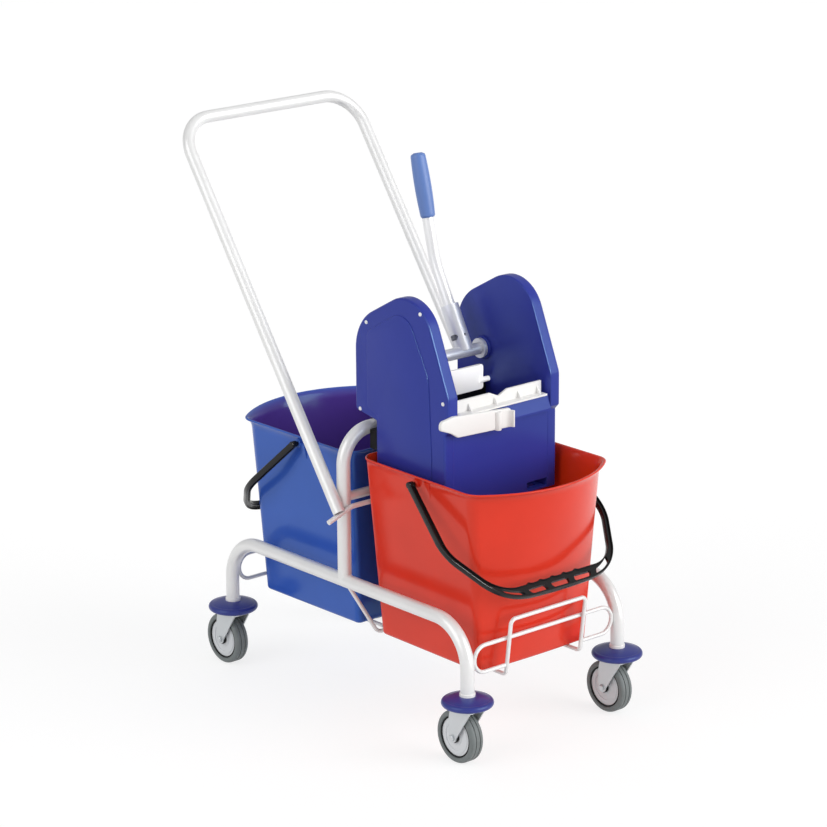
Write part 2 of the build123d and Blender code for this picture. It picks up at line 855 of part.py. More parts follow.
def cheek_cover():
    """Outer cover of the +Y cheek with a raised panel and holes for the rivets."""
    face = wringer_half_width - panel_height
    cover = slab_y(side_outline(0), face - cover_thickness, face)
    rise = Polygon(
        (wringer_rear + 2 * shell, wringer_bottom),
        (wringer_rear + 2 * shell, cheek_rear_foot),
        (cheek_rear + 10 * shell, cheek_rear_foot + 4 * shell),
        (cheek_rear + 10 * shell, cheek_rear_top - 4 * shell),
        (cheek_crest_x - 10 * shell, cheek_crest_z - 14 * shell),
        (cheek_front - 15 * shell, cheek_front_knee + 8 * shell),
        (wringer_front - 10 * shell, cheek_front_knee - 35 * shell),
        (wringer_front - 10 * shell, wringer_bottom),
        align=None,
    )
    crest = rise.vertices().sort_by(Axis.Y)[-1]
    rise = fillet(crest, cheek_crest_round / 2)
    cover += slab_y(rise, face, wringer_half_width)
    for x, z in rivet_places():
        cover -= bar_y(x, z, rivet_diameter / 2, face - cover_thickness, wringer_half_width)
    return cover


def cheek_rivets():
    """Rivets through the covers into the bosses of the body."""
    face = wringer_half_width - panel_height
    root = chamber_half_width + shell
    rivets = []
    for x, z in rivet_places():
        shank = bar_y(x, z, rivet_diameter / 2, root, face)
        head = bar_y(x, z, rivet_head_diameter / 2, face, face + rivet_head_height)
        head = fillet(head.edges().group_by(Axis.Y)[-1], rivet_head_height * 0.8)
        rivets += [shank + head, mirrored(shank + head)]
    return Compound(rivets)


def wringer_hook():
    """Hook over the crossbar on the +Y side, with a pad that runs down behind the box."""
    bar_front = tube_radius + hook_gap
    roof = arch_height + tube_radius + hook_gap
    tail_x = -bar_front - hook_tail_thickness
    low, high = hook_offset - hook_width / 2, hook_offset + hook_width / 2
    pad_top = arch_height
    hook = block(bar_front, wringer_rear, low, high, pad_top, roof + hook_thickness)
    hook += block(tail_x, wringer_rear, low, high, roof, roof + hook_thickness)
    hook += block(tail_x, -bar_front, low, high, roof + hook_thickness - hook_tail, roof + hook_thickness)
    pad_end = wringer_half_width - panel_height - cover_thickness
    hook += block(bar_front, wringer_rear, low, pad_end, hook_pad_bottom, pad_top)
    return hook


def lever_direction(tilt):
    """Unit direction in X and Z that leans back from upright by the tilt."""
    return Vector(-math.sin(math.radians(tilt)), 0, math.cos(math.radians(tilt)))


def lever_points():
    """Centre line of the lever tube: seat in the socket, knee and tip."""
    pivot = Vector(shaft_x, lever_offset, shaft_z)
    seat = pivot + lever_direction(lever_tilt) * (socket_length - socket_depth)
    knee = pivot + lever_direction(lever_tilt) * lever_lower_length
    tip = knee + lever_direction(lever_tip_tilt) * lever_upper_length
    return [seat, knee, tip]


def tilted(tilt, origin):
    """A plane across the lever with its normal along it."""
    return Plane(origin, x_dir=(0, 1, 0), z_dir=lever_direction(tilt))


def lever_shaft():
    """Cross shaft with its journals and collars, and the socket for the lever."""
    journal_end = wringer_half_width - panel_height - cover_thickness - running_gap
    collar_end = chamber_half_width - bush_disc_thickness - running_gap
    collar_start = collar_end - shaft_ring_thickness
    shaft = bar_y(shaft_x, shaft_z, shaft_diameter / 2, -collar_start, collar_start)
    shaft += bar_y(shaft_x, shaft_z, journal_diameter / 2, -journal_end, journal_end)
    for side in (-1, 1):
        ends = sorted((side * collar_start, side * collar_end))
        shaft += bar_y(shaft_x, shaft_z, shaft_ring_diameter / 2, ends[0], ends[1])
    pivot = Vector(shaft_x, lever_offset, shaft_z)
    socket = extrude(tilted(lever_tilt, pivot) * Circle(socket_diameter / 2), amount=socket_length)
    shaft += socket
    seat = lever_points()[0]
    bore = extrude(tilted(lever_tilt, seat) * Circle(lever_diameter / 2), amount=socket_length)
    window_at = seat - lever_direction(lever_tilt) * socket_window
    pocket_at = window_at - lever_direction(lever_tilt) * socket_window
    pocket = extrude(
        tilted(lever_tilt, pocket_at) * Circle(lever_diameter / 2 - lever_wall), amount=socket_length
    )
    forwards = lever_direction(lever_tilt - 90)
    beside = Plane(window_at, x_dir=forwards, z_dir=(0, -1, 0))
    slot = extrude(beside * SlotOverall(2 * socket_window, socket_window), amount=socket_diameter)
    ahead = Plane(window_at, x_dir=(0, 1, 0), z_dir=forwards)
    hole = extrude(ahead * Circle(socket_hole / 2), amount=socket_diameter)
    return shaft - bore - pocket - slot - hole


def lever_tube():
    """Lever tube, bent a little more upright above the knee."""
    return tube(lever_points(), lever_diameter / 2, lever_wall, lever_bend)


def lever_grip():
    """Closed grip pushed over the tip of the lever."""
    tip = lever_points()[2]
    along = lever_direction(lever_tip_tilt)
    foot = tip - along * (grip_length - grip_end_wall)
    grip = extrude(tilted(lever_tip_tilt, foot) * Circle(grip_diameter / 2), amount=grip_length, taper=0.6)
    top = grip.edges().sort_by(Axis.Z)[-1]
    grip = fillet(top, grip_diameter / 4)
    return grip - extrude(
        tilted(lever_tip_tilt, foot) * Circle(lever_diameter / 2), amount=grip_length - grip_end_wall
    )


def shaft_bush():
    """Flanged bush in the +Y cheek for the shaft's journal."""
    outer = wringer_half_width - panel_height - cover_thickness
    disc_face = chamber_half_width - bush_disc_thickness
    bush = bar_y(shaft_x, shaft_z, bush_disc_diameter / 2, disc_face, chamber_half_width)
    bush = fillet(bush.edges().group_by(Axis.Y)[0], bush_disc_thickness / 3)
    bush += bar_y(shaft_x, shaft_z, bush_sleeve_diameter / 2, chamber_half_width, outer)
    bore = journal_diameter / 2 + journal_clearance
    return bush - bar_y(shaft_x, shaft_z, bore, disc_face - 1, outer + 1)


def press_arm():
    """Arm clamped on the shaft that carries the rear plate on a pin."""
    low, high = arm_centre - arm_width / 2, arm_centre + arm_width / 2
    pin_z = shaft_z - arm_length
    arm = bar_y(shaft_x, shaft_z, arm_hub_diameter / 2, low, high)
    arm += bar_y(shaft_x, pin_z, arm_eye_diameter / 2, low, high)
    half = arm_eye_diameter / 2
    arm += block(shaft_x - half, shaft_x + half, low, high, pin_z, shaft_z)
    arm -= bar_y(shaft_x, shaft_z, shaft_diameter / 2, low, high)
    hole = press_pin_diameter / 2 + press_pin_clearance
    return arm - bar_y(shaft_x, pin_z, hole, low, high)


def lug_spans():
    """Where the two lugs of the rear plate lie along Y, either side of the arm."""
    reach = arm_width / 2 + running_gap
    return [
        (arm_centre - reach - lug_thickness, arm_centre - reach),
        (arm_centre + reach, arm_centre + reach + lug_thickness),
    ]


def rear_plate():
    """Rear press plate with lugs for the pin and end bosses that keep it between the cheeks."""
    back = shaft_x + arm_eye_diameter / 2 + running_gap
    pin_z = shaft_z - arm_length
    half = plate_half_width
    plate = block(back, back + plate_thickness, -half, half, plate_bottom, plate_top)
    plate = fillet(plate.edges().filter_by(Axis.X), plate_thickness)
    eye = arm_eye_diameter / 2
    for low, high in lug_spans():
        lug = bar_y(shaft_x, pin_z, eye, low, high)
        lug += block(shaft_x, back + 1, low, high, pin_z - eye, pin_z + eye)
        plate += lug
        plate -= bar_y(shaft_x, pin_z, press_pin_diameter / 2, low, high)
    boss_x = back + plate_thickness
    boss_end = chamber_half_width - plate_end_gap
    boss_root = plate_half_width - plate_boss_diameter
    boss = bar_y(boss_x, plate_boss_height, plate_boss_diameter / 2, boss_root, boss_end)
    plate += boss + mirrored(boss)
    return plate


def press_backing():
    """Dark backing behind the rear plate, wider and lower, cut away around the arm."""
    back = shaft_x + arm_eye_diameter / 2 + running_gap
    outline = Pos(0, (backing_top + backing_bottom) / 2) * Rectangle(
        2 * backing_half_width, backing_top - backing_bottom
    )
    outline = fillet(outline.vertices().group_by(Axis.Y)[-1], backing_corner)
    upright = Plane(origin=(back - backing_thickness, 0, 0), x_dir=(0, 1, 0), z_dir=(1, 0, 0))
    backing = extrude(upright * outline, amount=backing_thickness, dir=(1, 0, 0))
    low = lug_spans()[0][0] - running_gap
    high = lug_spans()[1][1] + running_gap
    cut_floor = shaft_z - arm_length - arm_eye_diameter / 2 - running_gap
    return backing - block(back - 3 * backing_thickness, back, low, high, cut_floor, backing_top + 1)


def front_plate():
    """Front press plate with a dipped top, and a ledge with gussets that rests on the front wall."""
    x1 = wringer_front - shell - front_plate_gap
    x0 = x1 - front_plate_thickness
    half = front_plate_half_width
    dip_half = half / 5
    outline = Polygon(
        (-half, front_plate_bottom),
        (half, front_plate_bottom),
        (half, front_plate_top),
        (dip_half, front_plate_top),
        (0, front_plate_top - front_plate_dip),
        (-dip_half, front_plate_top),
        (-half, front_plate_top),
        align=None,
    )
    upright = Plane(origin=(x0, 0, 0), x_dir=(0, 1, 0), z_dir=(1, 0, 0))
    plate = extrude(upright * outline, amount=front_plate_thickness, dir=(1, 0, 0))
    ledge_top = front_wall_top + ledge_thickness
    plate += block(x1, cheek_front + running_gap, -half, half, front_wall_top, ledge_top)
    gusset = Polygon(
        (x1, ledge_top),
        (wringer_front + shell, ledge_top),
        (x1, ledge_top + gusset_height),
        align=None,
    )
    for share in (-0.7, -0.1, 0.45, 0.9):
        y = share * half
        plate += slab_y(gusset, y - ledge_thickness / 2, y + ledge_thickness / 2)
    return plate


def clip_bar():
    """Clip along the front of the wringer, from a finger tab past the cheek to a ribbed end."""
    x0 = cheek_front + running_gap
    tab = (clip_top - clip_bottom) / 4
    outline = Polygon(
        (-clip_tab_reach, clip_bottom + 2 * tab),
        (-clip_tab_reach, clip_top - tab / 2),
        (-clip_tab_reach + 3 * tab, clip_top),
        (clip_inner_end, clip_top - tab),
        (clip_inner_end, clip_bottom - tab / 2),
        (-clip_tab_reach + 4 * tab, clip_bottom),
        (-clip_tab_reach + 2.5 * tab, clip_bottom + tab),
        align=None,
    )
    outline = fillet(outline.vertices().group_by(Axis.X)[0], tab / 2)
    upright = Plane(origin=(x0, 0, 0), x_dir=(0, 1, 0), z_dir=(1, 0, 0))
    bar = extrude(upright * outline, amount=clip_thickness, dir=(1, 0, 0))
    rib_y = clip_inner_end - 2.5 * clip_rib_diameter
    rib_height = clip_top - clip_bottom - tab
    bar += Pos(x0 + clip_thickness, rib_y, clip_bottom + rib_height / 2) * Cylinder(
        clip_rib_diameter / 2, rib_height
    )
    end = block(
        x0 + clip_thickness / 2, x0 + 2 * clip_thickness, clip_inner_end - clip_thickness / 2,
        clip_inner_end, clip_bottom, clip_top - tab,
    )
    return bar + fillet(end.edges().filter_by(Axis.X), clip_thickness / 5)


def make_wringer():
    """All pieces of the press wringer."""
    parts["wringer_body"] = wringer_body()
    cover = cheek_cover()
    parts["left_cheek_cover"] = cover
    parts["right_cheek_cover"] = mirrored(cover)
    parts["cheek_rivets"] = cheek_rivets()
    hook = wringer_hook()
    parts["wringer_hooks"] = Compound([hook, mirrored(hook)])
    bush = shaft_bush()
    parts["shaft_bushes"] = Compound([bush, mirrored(bush)])
    parts["lever_shaft"] = lever_shaft()
    parts["lever_tube"] = lever_tube()
    parts["lever_grip"] = lever_grip()
    parts["press_arm"] = press_arm()
    spans = lug_spans()
    parts["press_pin"] = bar_y(
        shaft_x, shaft_z - arm_length, press_pin_diameter / 2, spans[0][0], spans[1][1]
    )
    parts["rear_press_plate"] = rear_plate()
    parts["press_backing"] = press_backing()
    parts["front_press_plate"] = front_plate()
    parts["front_clip_bar"] = clip_bar()


make_frame()
make_cradle()
make_casters()
make_buckets()
make_wringer()

os.makedirs("parts", exist_ok=True)
for node, piece in parts.items():
    export_step(Pos(chassis_shift, 0, 0) * piece, f"parts/{node}.step")
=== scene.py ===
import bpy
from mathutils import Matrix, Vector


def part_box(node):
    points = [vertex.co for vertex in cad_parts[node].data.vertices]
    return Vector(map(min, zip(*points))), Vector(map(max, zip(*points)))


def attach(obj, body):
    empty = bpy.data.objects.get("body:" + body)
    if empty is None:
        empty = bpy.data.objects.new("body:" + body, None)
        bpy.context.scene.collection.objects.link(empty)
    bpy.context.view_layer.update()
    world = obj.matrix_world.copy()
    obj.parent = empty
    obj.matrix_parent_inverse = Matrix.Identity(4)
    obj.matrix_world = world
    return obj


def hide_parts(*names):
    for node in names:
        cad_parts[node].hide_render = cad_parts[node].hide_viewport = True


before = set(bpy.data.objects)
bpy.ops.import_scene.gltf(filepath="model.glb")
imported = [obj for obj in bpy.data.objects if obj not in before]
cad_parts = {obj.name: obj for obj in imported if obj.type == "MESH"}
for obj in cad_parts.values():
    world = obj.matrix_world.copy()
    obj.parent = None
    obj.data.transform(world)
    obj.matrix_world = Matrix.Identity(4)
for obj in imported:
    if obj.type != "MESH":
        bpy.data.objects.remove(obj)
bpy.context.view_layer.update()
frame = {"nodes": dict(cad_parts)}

import math

import bmesh
import bpy
import numpy as np
from bpy.props import FloatProperty, FloatVectorProperty, IntProperty, PointerProperty
from mathutils import Matrix, Vector

bl_info = {
    "name": "Mop trolley",
    "version": (1, 0, 0),
    "blender": (4, 5, 0),
    "location": "3D View > Sidebar > Trolley",
    "description": "Dresses a double-bucket mop trolley with a press wringer around its packed frame",
    "category": "Object",
}

MM = 0.001
NODES = frame["nodes"]
# Points within WELD metres of each other are one, faces that turn by less than FLAT degrees are flat,
# and edges sharper than CRISP degrees stay crisp.
WELD = 1e-6
FLAT = 0.5
CRISP = 40
# A direction along no axis of the trolley, so that it can be crossed with any of them.
ASKEW = (0.31, 0.53, 0.79)
SQUARE = ((-1, -1), (1, -1), (1, 1), (-1, 1))
WHITE = (1, 1, 1, 1)


def middle_of(node):
    """Centre of a CAD node's box, as an array."""
    low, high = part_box(node)
    return (np.array(low) + np.array(high)) / 2


# The chassis stands about the centre arch, so its middle is the origin of every drawn size.
CHASSIS_X = float(middle_of("centre_arch")[0])


# Shapes: each is a pair of points (n, 3) in metres about the chassis, and faces.


def unit(vectors):
    """Vectors divided by their own length along the last axis."""
    return vectors / np.linalg.norm(vectors, axis=-1, keepdims=True)


def outward(outline):
    """Unit vectors out of an anticlockwise closed outline: the chord from the point before to
    the point after, turned a quarter to the right."""
    chord = unit(np.roll(outline, -1, 0) - np.roll(outline, 1, 0))
    return np.stack([chord[:, 1], -chord[:, 0]], 1)


def anticlockwise(outline):
    """The outline with its area counted positive."""
    ahead = np.roll(outline, -1, 0)
    area = np.sum(outline[:, 0] * ahead[:, 1] - outline[:, 1] * ahead[:, 0])
    return outline if area > 0 else outline[::-1]


def round_corners(points, radii, steps, closed=True):
    """A line through the corner points with an arc of its own radius at each corner. The arc is
    c + (a sin((1-t)w) + b sin(tw)) / sin(w), where a and b run from its centre to its two ends."""
    points = np.asarray(points, float)
    count = len(points)
    runs = []
    for i, radius in enumerate(radii):
        corner = points[i]
        if not closed and i in (0, count - 1):
            runs.append(corner[None])
            continue
        back = unit(points[i - 1] - corner)
        ahead = unit(points[(i + 1) % count] - corner)
        half = math.acos(float(np.clip(back @ ahead, -1, 1))) / 2
        centre = corner + unit(back + ahead) * radius / math.sin(half)
        reach = radius / math.tan(half)
        first = corner + back * reach - centre
        last = corner + ahead * reach - centre
        turn = math.pi - 2 * half
        t = np.linspace(0, 1, steps)[:, None]
        arc = (np.sin((1 - t) * turn) * first + np.sin(t * turn) * last) / math.sin(turn)
        runs.append(centre + arc)
    return np.vstack(runs)


def outlined(corners, steps, bottom=0.0):
    """A closed outline through corners, each with its place, height above the bottom and radius."""
    place, height, radii = np.array(corners, float).T
    return round_corners(np.column_stack([place, height + bottom]), radii, steps)


def evenly(points, count, pace):
    """A line taken at even steps of length along a second line, its points paired with the first's."""
    length = np.r_[0, np.cumsum(np.linalg.norm(np.diff(pace, axis=0), axis=1))]
    at = np.linspace(0, length[-1], count)
    return np.stack([np.interp(at, length, points[:, k]) for k in range(points.shape[1])], 1)


def lofted(rings):
    """Skin through closed rings (rows, points, 3): four-sided faces between them, and flat ends."""
    rows, columns = rings.shape[:2]
    row = np.arange(rows - 1)[:, None] * columns
    column = np.arange(columns)[None]
    beside = (column + 1) % columns
    corners = [row + column, row + beside, row + columns + beside, row + columns + column]
    faces = np.stack(corners, -1).reshape(-1, 4).tolist()
    faces.append(list(range(columns))[::-1])
    faces.append(list(range((rows - 1) * columns, rows * columns)))
    return rings.reshape(-1, 3), faces


def slab(outline, low, high, low_round, high_round, axes=(0, 2, 1), steps=5):
    """A plate with rounded edges: towards each face the outline is drawn in by r(1 - sin t)
    while the depth comes up by r(1 - cos t). axes says where the outline's two numbers and
    the depth go."""
    t = np.linspace(0, math.pi / 2, steps)
    inset = np.r_[low_round * (1 - np.sin(t)), high_round * (1 - np.sin(t[::-1]))]
    depth = np.r_[low + low_round * (1 - np.cos(t)), high - high_round * (1 - np.cos(t[::-1]))]
    outline = anticlockwise(np.asarray(outline, float))
    flat = outline[None] - outward(outline)[None] * inset[:, None, None]
    rings = np.empty(flat.shape[:2] + (3,))
    rings[..., axes[0]] = flat[..., 0]
    rings[..., axes[1]] = flat[..., 1]
    rings[..., axes[2]] = depth[:, None]
    return lofted(rings)


def turned(profile, centre, axis, around):
    """A ring turned about an axis: the point at radius r and height h on the profile goes to
    c + h k + r (i cos t + j sin t)."""
    profile = np.asarray(profile, float)
    k = unit(np.asarray(axis, float))
    i = unit(np.cross(k, ASKEW))
    j = np.cross(k, i)
    t = np.linspace(0, 2 * math.pi, around, endpoint=False)[None, :, None]
    radius = profile[:, 0][:, None, None]
    height = profile[:, 1][:, None, None]
    return lofted(np.asarray(centre, float) + height * k + radius * (i * np.cos(t) + j * np.sin(t)))


def peg_profile(radius, low, high, edge, inset, lift):
    """Profile of a round peg from low to high. Both ends are rounded off over the edge, through one point
    that lies inset within the radius and lift from the end."""
    rounding = [(radius - edge, 0), (radius - inset, lift), (radius, edge)]
    return [(r, low + h) for r, h in rounding] + [(r, high - h) for r, h in rounding[::-1]]


def joined(*shapes):
    """Several shapes as one."""
    points, faces, start = [], [], 0
    for shape_points, shape_faces in shapes:
        points.append(shape_points)
        faces += [[start + i for i in face] for face in shape_faces]
        start += len(shape_points)
    return np.vstack(points), faces


def mirrored(shape):
    """The shape on the other side of the chassis."""
    points, faces = shape
    return points * (1, -1, 1), [face[::-1] for face in faces]


def piece(name, shape, material, body, nodes, sharp=CRISP):
    """A new object from a shape, in place of CAD nodes and riding on their body. Doubles are
    merged and the faces turned outwards; edges sharper than the angle stay crisp."""
    points, faces = shape
    mesh = bpy.data.meshes.new(name)
    mesh.from_pydata((points + (CHASSIS_X, 0, 0)).tolist(), [], faces)
    work = bmesh.new()
    work.from_mesh(mesh)
    bmesh.ops.remove_doubles(work, verts=work.verts, dist=WELD)
    bmesh.ops.recalc_face_normals(work, faces=work.faces)
    work.to_mesh(mesh)
    work.free()
    mesh.shade_smooth()
    mesh.set_sharp_from_angle(angle=math.radians(sharp))
    mesh.materials.append(material)
    made = bpy.data.objects.new(name, mesh)
    bpy.context.scene.collection.objects.link(made)
    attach(made, body)
    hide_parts(*nodes)
    return made


# Finishes

# Noise cells per metre: clouds in a colour, patches and streaks in a gloss, dust, and grains.
MOULD_CLOUDS = 9
PLATE_CLOUDS = 10
GLOSS_PATCHES = 16
STREAKS = 30
DUST = 70
MOULD_GRAIN = 700
RUBBER_GRAIN = 900


def finish(name):
    """An empty material with its node tree and shader."""
    material = bpy.data.materials.new(name)
    material.use_nodes = True
    tree = material.node_tree
    return material, tree, tree.nodes["Principled BSDF"]


def feed(tree, node, inputs):
    """Fills a node's inputs, by name or number: an output of another node is linked, a value is set."""
    for key, value in inputs.items():
        if isinstance(value, bpy.types.NodeSocket):
            tree.links.new(value, node.inputs[key])
        else:
            node.inputs[key].default_value = value


def add(tree, kind, inputs=None, **settings):
    """A new shader node with its settings and inputs."""
    node = tree.nodes.new("ShaderNode" + kind)
    for key, value in settings.items():
        setattr(node, key, value)
    feed(tree, node, inputs or {})
    return node


def speckle(tree, scale, detail=2.0, stretch=(1, 1, 1)):
    """Noise on Object coordinates, stretched along an axis where its factor is small."""
    place = add(tree, "TexCoord").outputs["Object"]
    sized = add(tree, "Mapping", {"Vector": place, "Scale": stretch}).outputs["Vector"]
    noise = add(tree, "TexNoise", {"Vector": sized, "Scale": scale, "Detail": detail})
    return noise.outputs["Fac"]


def spread(tree, factor, low, high, start=0.3, end=0.7):
    """The factor's range from start to end laid onto low to high. Most noise lies from 0.3 to 0.7."""
    ranges = {"From Min": start, "From Max": end, "To Min": low, "To Max": high}
    return add(tree, "MapRange", {"Value": factor, **ranges}).outputs["Result"]


def between(tree, factor, first, second):
    """A colour between two, by a factor. Inputs 6 and 7 and output 2 of a Mix node are its colours."""
    return add(tree, "Mix", {0: factor, 6: first, 7: second}, data_type="RGBA").outputs[2]


def clouded(tree, factor, colour, low, high):
    """A colour that wavers between two shares of itself."""
    dark, light = [(*(min(1.0, channel * share) for channel in colour), 1) for share in (low, high)]
    return between(tree, factor, dark, light)


def relief(tree, shader, height, depth):
    """Bump of the given depth in metres on the shader's normal."""
    bump = add(tree, "Bump", {"Height": height, "Strength": 1.0, "Distance": depth})
    feed(tree, shader, {"Normal": bump.outputs["Normal"]})


def moulded(name, colour, roughness, flow=0.05, grain=0.01 * MM, gloss=0.5, tint=(1, 1, 1), painted_shading=None):
    """Moulded plastic: cloudy flow marks in the colour, a fine grain and slightly uneven gloss. Where the
    mesh has the attribute of painted light and shade, the colour goes over to a second, painted colour."""
    material, tree, shader = finish(name)
    cloud = spread(tree, speckle(tree, MOULD_CLOUDS, 3), 0, 1)
    base = clouded(tree, cloud, colour, low=1 - flow, high=1 + flow)
    if painted_shading:
        # The attribute says where the colour of painted light and shade takes over.
        inner = add(tree, "Attribute", attribute_name="painted_shading")
        base = between(tree, inner.outputs["Fac"], base, (*painted_shading, 1))
    uneven = spread(tree, speckle(tree, GLOSS_PATCHES), low=roughness * 0.92, high=roughness * 1.1)
    feed(tree, shader, {"Base Color": base, "Roughness": uneven})
    feed(tree, shader, {"Specular IOR Level": gloss, "Specular Tint": (*tint, 1)})
    relief(tree, shader, speckle(tree, MOULD_GRAIN), grain)
    return material


def plated(name, colour, roughness, metal=1.0, stretch=(1, 1, 1)):
    """Plated steel: polishing streaks in the gloss and faint clouds in the colour. A share of it is
    milky, the more so the smaller metal is."""
    material, tree, shader = finish(name)
    cloud = spread(tree, speckle(tree, PLATE_CLOUDS), 0, 1)
    base = clouded(tree, cloud, colour, low=0.97, high=1.02)
    drawn = speckle(tree, STREAKS, 1, stretch)
    gloss = spread(tree, drawn, low=roughness * 0.92, high=roughness * 1.08)
    feed(tree, shader, {"Base Color": base, "Metallic": metal, "Roughness": gloss})
    return material


def rubbered(name, colour, roughness):
    """Rubber: a dusty mottle and a coarse grain."""
    material, tree, shader = finish(name)
    dust = spread(tree, speckle(tree, DUST, 5), 0, 1)
    base = clouded(tree, dust, colour, low=0.9, high=1.1)
    gloss = spread(tree, dust, low=roughness * 0.9, high=roughness * 1.1)
    feed(tree, shader, {"Base Color": base, "Roughness": gloss})
    relief(tree, shader, speckle(tree, RUBBER_GRAIN, 3), 0.03 * MM)
    return material


def dress(nodes, material):
    """Gives CAD nodes a finish."""
    for node in nodes:
        for slot in NODES[node].material_slots:
            slot.material = material


def soften(nodes, width):
    """Rounds the sharp edges of CAD nodes: doubles are welded, flat faces joined, then edges bevelled."""
    for node in nodes:
        modifiers = NODES[node].modifiers
        weld = modifiers.new("weld", "WELD")
        weld.merge_threshold = WELD
        flat = modifiers.new("flat", "DECIMATE")
        flat.decimate_type = "DISSOLVE"
        flat.angle_limit = math.radians(FLAT)
        edge = modifiers.new("edge", "BEVEL")
        edge.width = width
        edge.segments = 3
        edge.limit_method = "ANGLE"
        edge.angle_limit = math.radians(CRISP)
        edge.harden_normals = True


# What a user would change


def length(name, description, default):
    """A length in metres for a property group."""
    return FloatProperty(name=name, description=description, default=default, unit="LENGTH", precision=4)


def colour(name, description, default):
    """A colour for a property group."""
    return FloatVectorProperty(
        name=name, description=description, default=default, subtype="COLOR", size=3, min=0, max=1
    )


def angle(name, description, degrees):
    """An angle for a property group."""
    return FloatProperty(name=name, description=description, default=math.radians(degrees), subtype="ANGLE")


def amount(name, description, default):
    """A strength or a focal length for a property group."""
    return FloatProperty(name=name, description=description, default=default, min=0)


class TrolleyColours(bpy.types.PropertyGroup):
    """Colours of the trolley's finishes, and two colours of painted light and shade for the buckets'
    insides.
    """

    red: colour("Red", "Plastic of the red bucket", (0.72, 0.040, 0.020))
    # Red inside is painted light: a lighter red that stands in for the light on the inside of the red
    # bucket.
    red_inside_painted_light: colour("Red inside", "Inside of the red bucket", (0.85, 0.045, 0.008))
    blue: colour("Blue", "Plastic of the blue bucket", (0.035, 0.100, 0.460))
    # Blue inside is painted shade: a darker purple blue that stands in for the shade inside the blue
    # bucket.
    blue_inside_painted_shade: colour("Blue inside", "Inside of the blue bucket", (0.085, 0.042, 0.290))
    wringer: colour("Wringer", "Plastic of the wringer", (0.030, 0.038, 0.300))
    bumper: colour("Bumper", "Plastic of the bumper discs", (0.032, 0.036, 0.230))
    grip: colour("Grip", "Plastic of the lever's grip", (0.120, 0.215, 0.520))
    black: colour("Black", "Plastic of the bails and hooks", (0.006, 0.006, 0.0065))
    white: colour("White", "Plastic of the press plates, clip and plugs", (0.86, 0.85, 0.835))
    rivet: colour("Rivet", "Plastic of the rivets", (0.85, 0.85, 0.85))
    frame: colour("Frame", "Silver coat of the tubes and wires", (0.84, 0.84, 0.835))
    shaft: colour("Shaft", "Silver coat of the cross shaft", (0.80, 0.81, 0.85))
    lever: colour("Lever", "Grey coat of the lever's tube", (0.90, 0.90, 0.905))
    zinc: colour("Zinc", "Plate of the forks and axles", (0.60, 0.625, 0.64))
    tyre: colour("Tyre", "Rubber of the tyres", (0.165, 0.185, 0.185))
    hub: colour("Hub", "Plastic of the wheel caps", (0.68, 0.70, 0.72))
    core: colour("Wheel core", "Plastic of the wheel cores", (0.007, 0.008, 0.008))


class TrolleyBucketSizes(bpy.types.PropertyGroup):
    """Sizes of one bucket, both being the same moulding."""

    base: length("Base", "Height of the bucket's foot above the floor", 0.130)
    height: length("Height", "Foot to rim", 0.299)
    rim_length: length("Length", "Flat rear to the tip of the nose at the rim", 0.326)
    rim_width: length("Width", "Across the rim", 0.282)
    rim_corner: length("Rim corner", "Radius of the rim's rear corners", 0.030)
    rim_tip: length("Rim tip", "Radius of the rim's front tips", 0.032)
    wall: length("Wall", "Thickness of the wall", 0.0025)
    wall_corner: length("Wall corner", "Radius of the wall's corners at the foot and the rear", 0.010)
    wall_tip: length("Wall tip", "Radius of the wall's front tips at the top", 0.030)
    floor: length("Floor", "Thickness of the floor", 0.003)
    floor_round: length("Floor round", "Rounding from wall to floor, outside and inside", 0.006)
    flange: length("Flange", "How far the rim stands out from the wall", 0.007)
    sweep: length("Sweep", "Height over which the wall curves out to the rim", 0.017)
    roll: length("Roll", "Thickness of the rim's rolled edge", 0.0034)
    nose: length("Nose", "How far the front bows out at the rim", 0.058)
    flare: length("Flare", "How far the front tips stand out sideways", 0.003)
    foot_width: length("Foot width", "Across the foot", 0.224)
    foot_rear: length("Foot rear inset", "Rim to foot at the rear", 0.019)
    foot_front: length("Foot front inset", "Rim to foot at the front", 0.066)
    foot_nose: length("Foot nose", "How far the front bows out at the foot", 0.004)
    red_rear: length("Red rear", "Rear of the red rim from the centre arch", 0.012)
    blue_rear: length("Blue rear", "Rear of the blue rim from the centre arch", -0.005)
    pivot: length("Pivot", "Bail pivot from the flat rear", 0.135)
    pivot_drop: length("Pivot drop", "Bail pivot below the rim", 0.014)


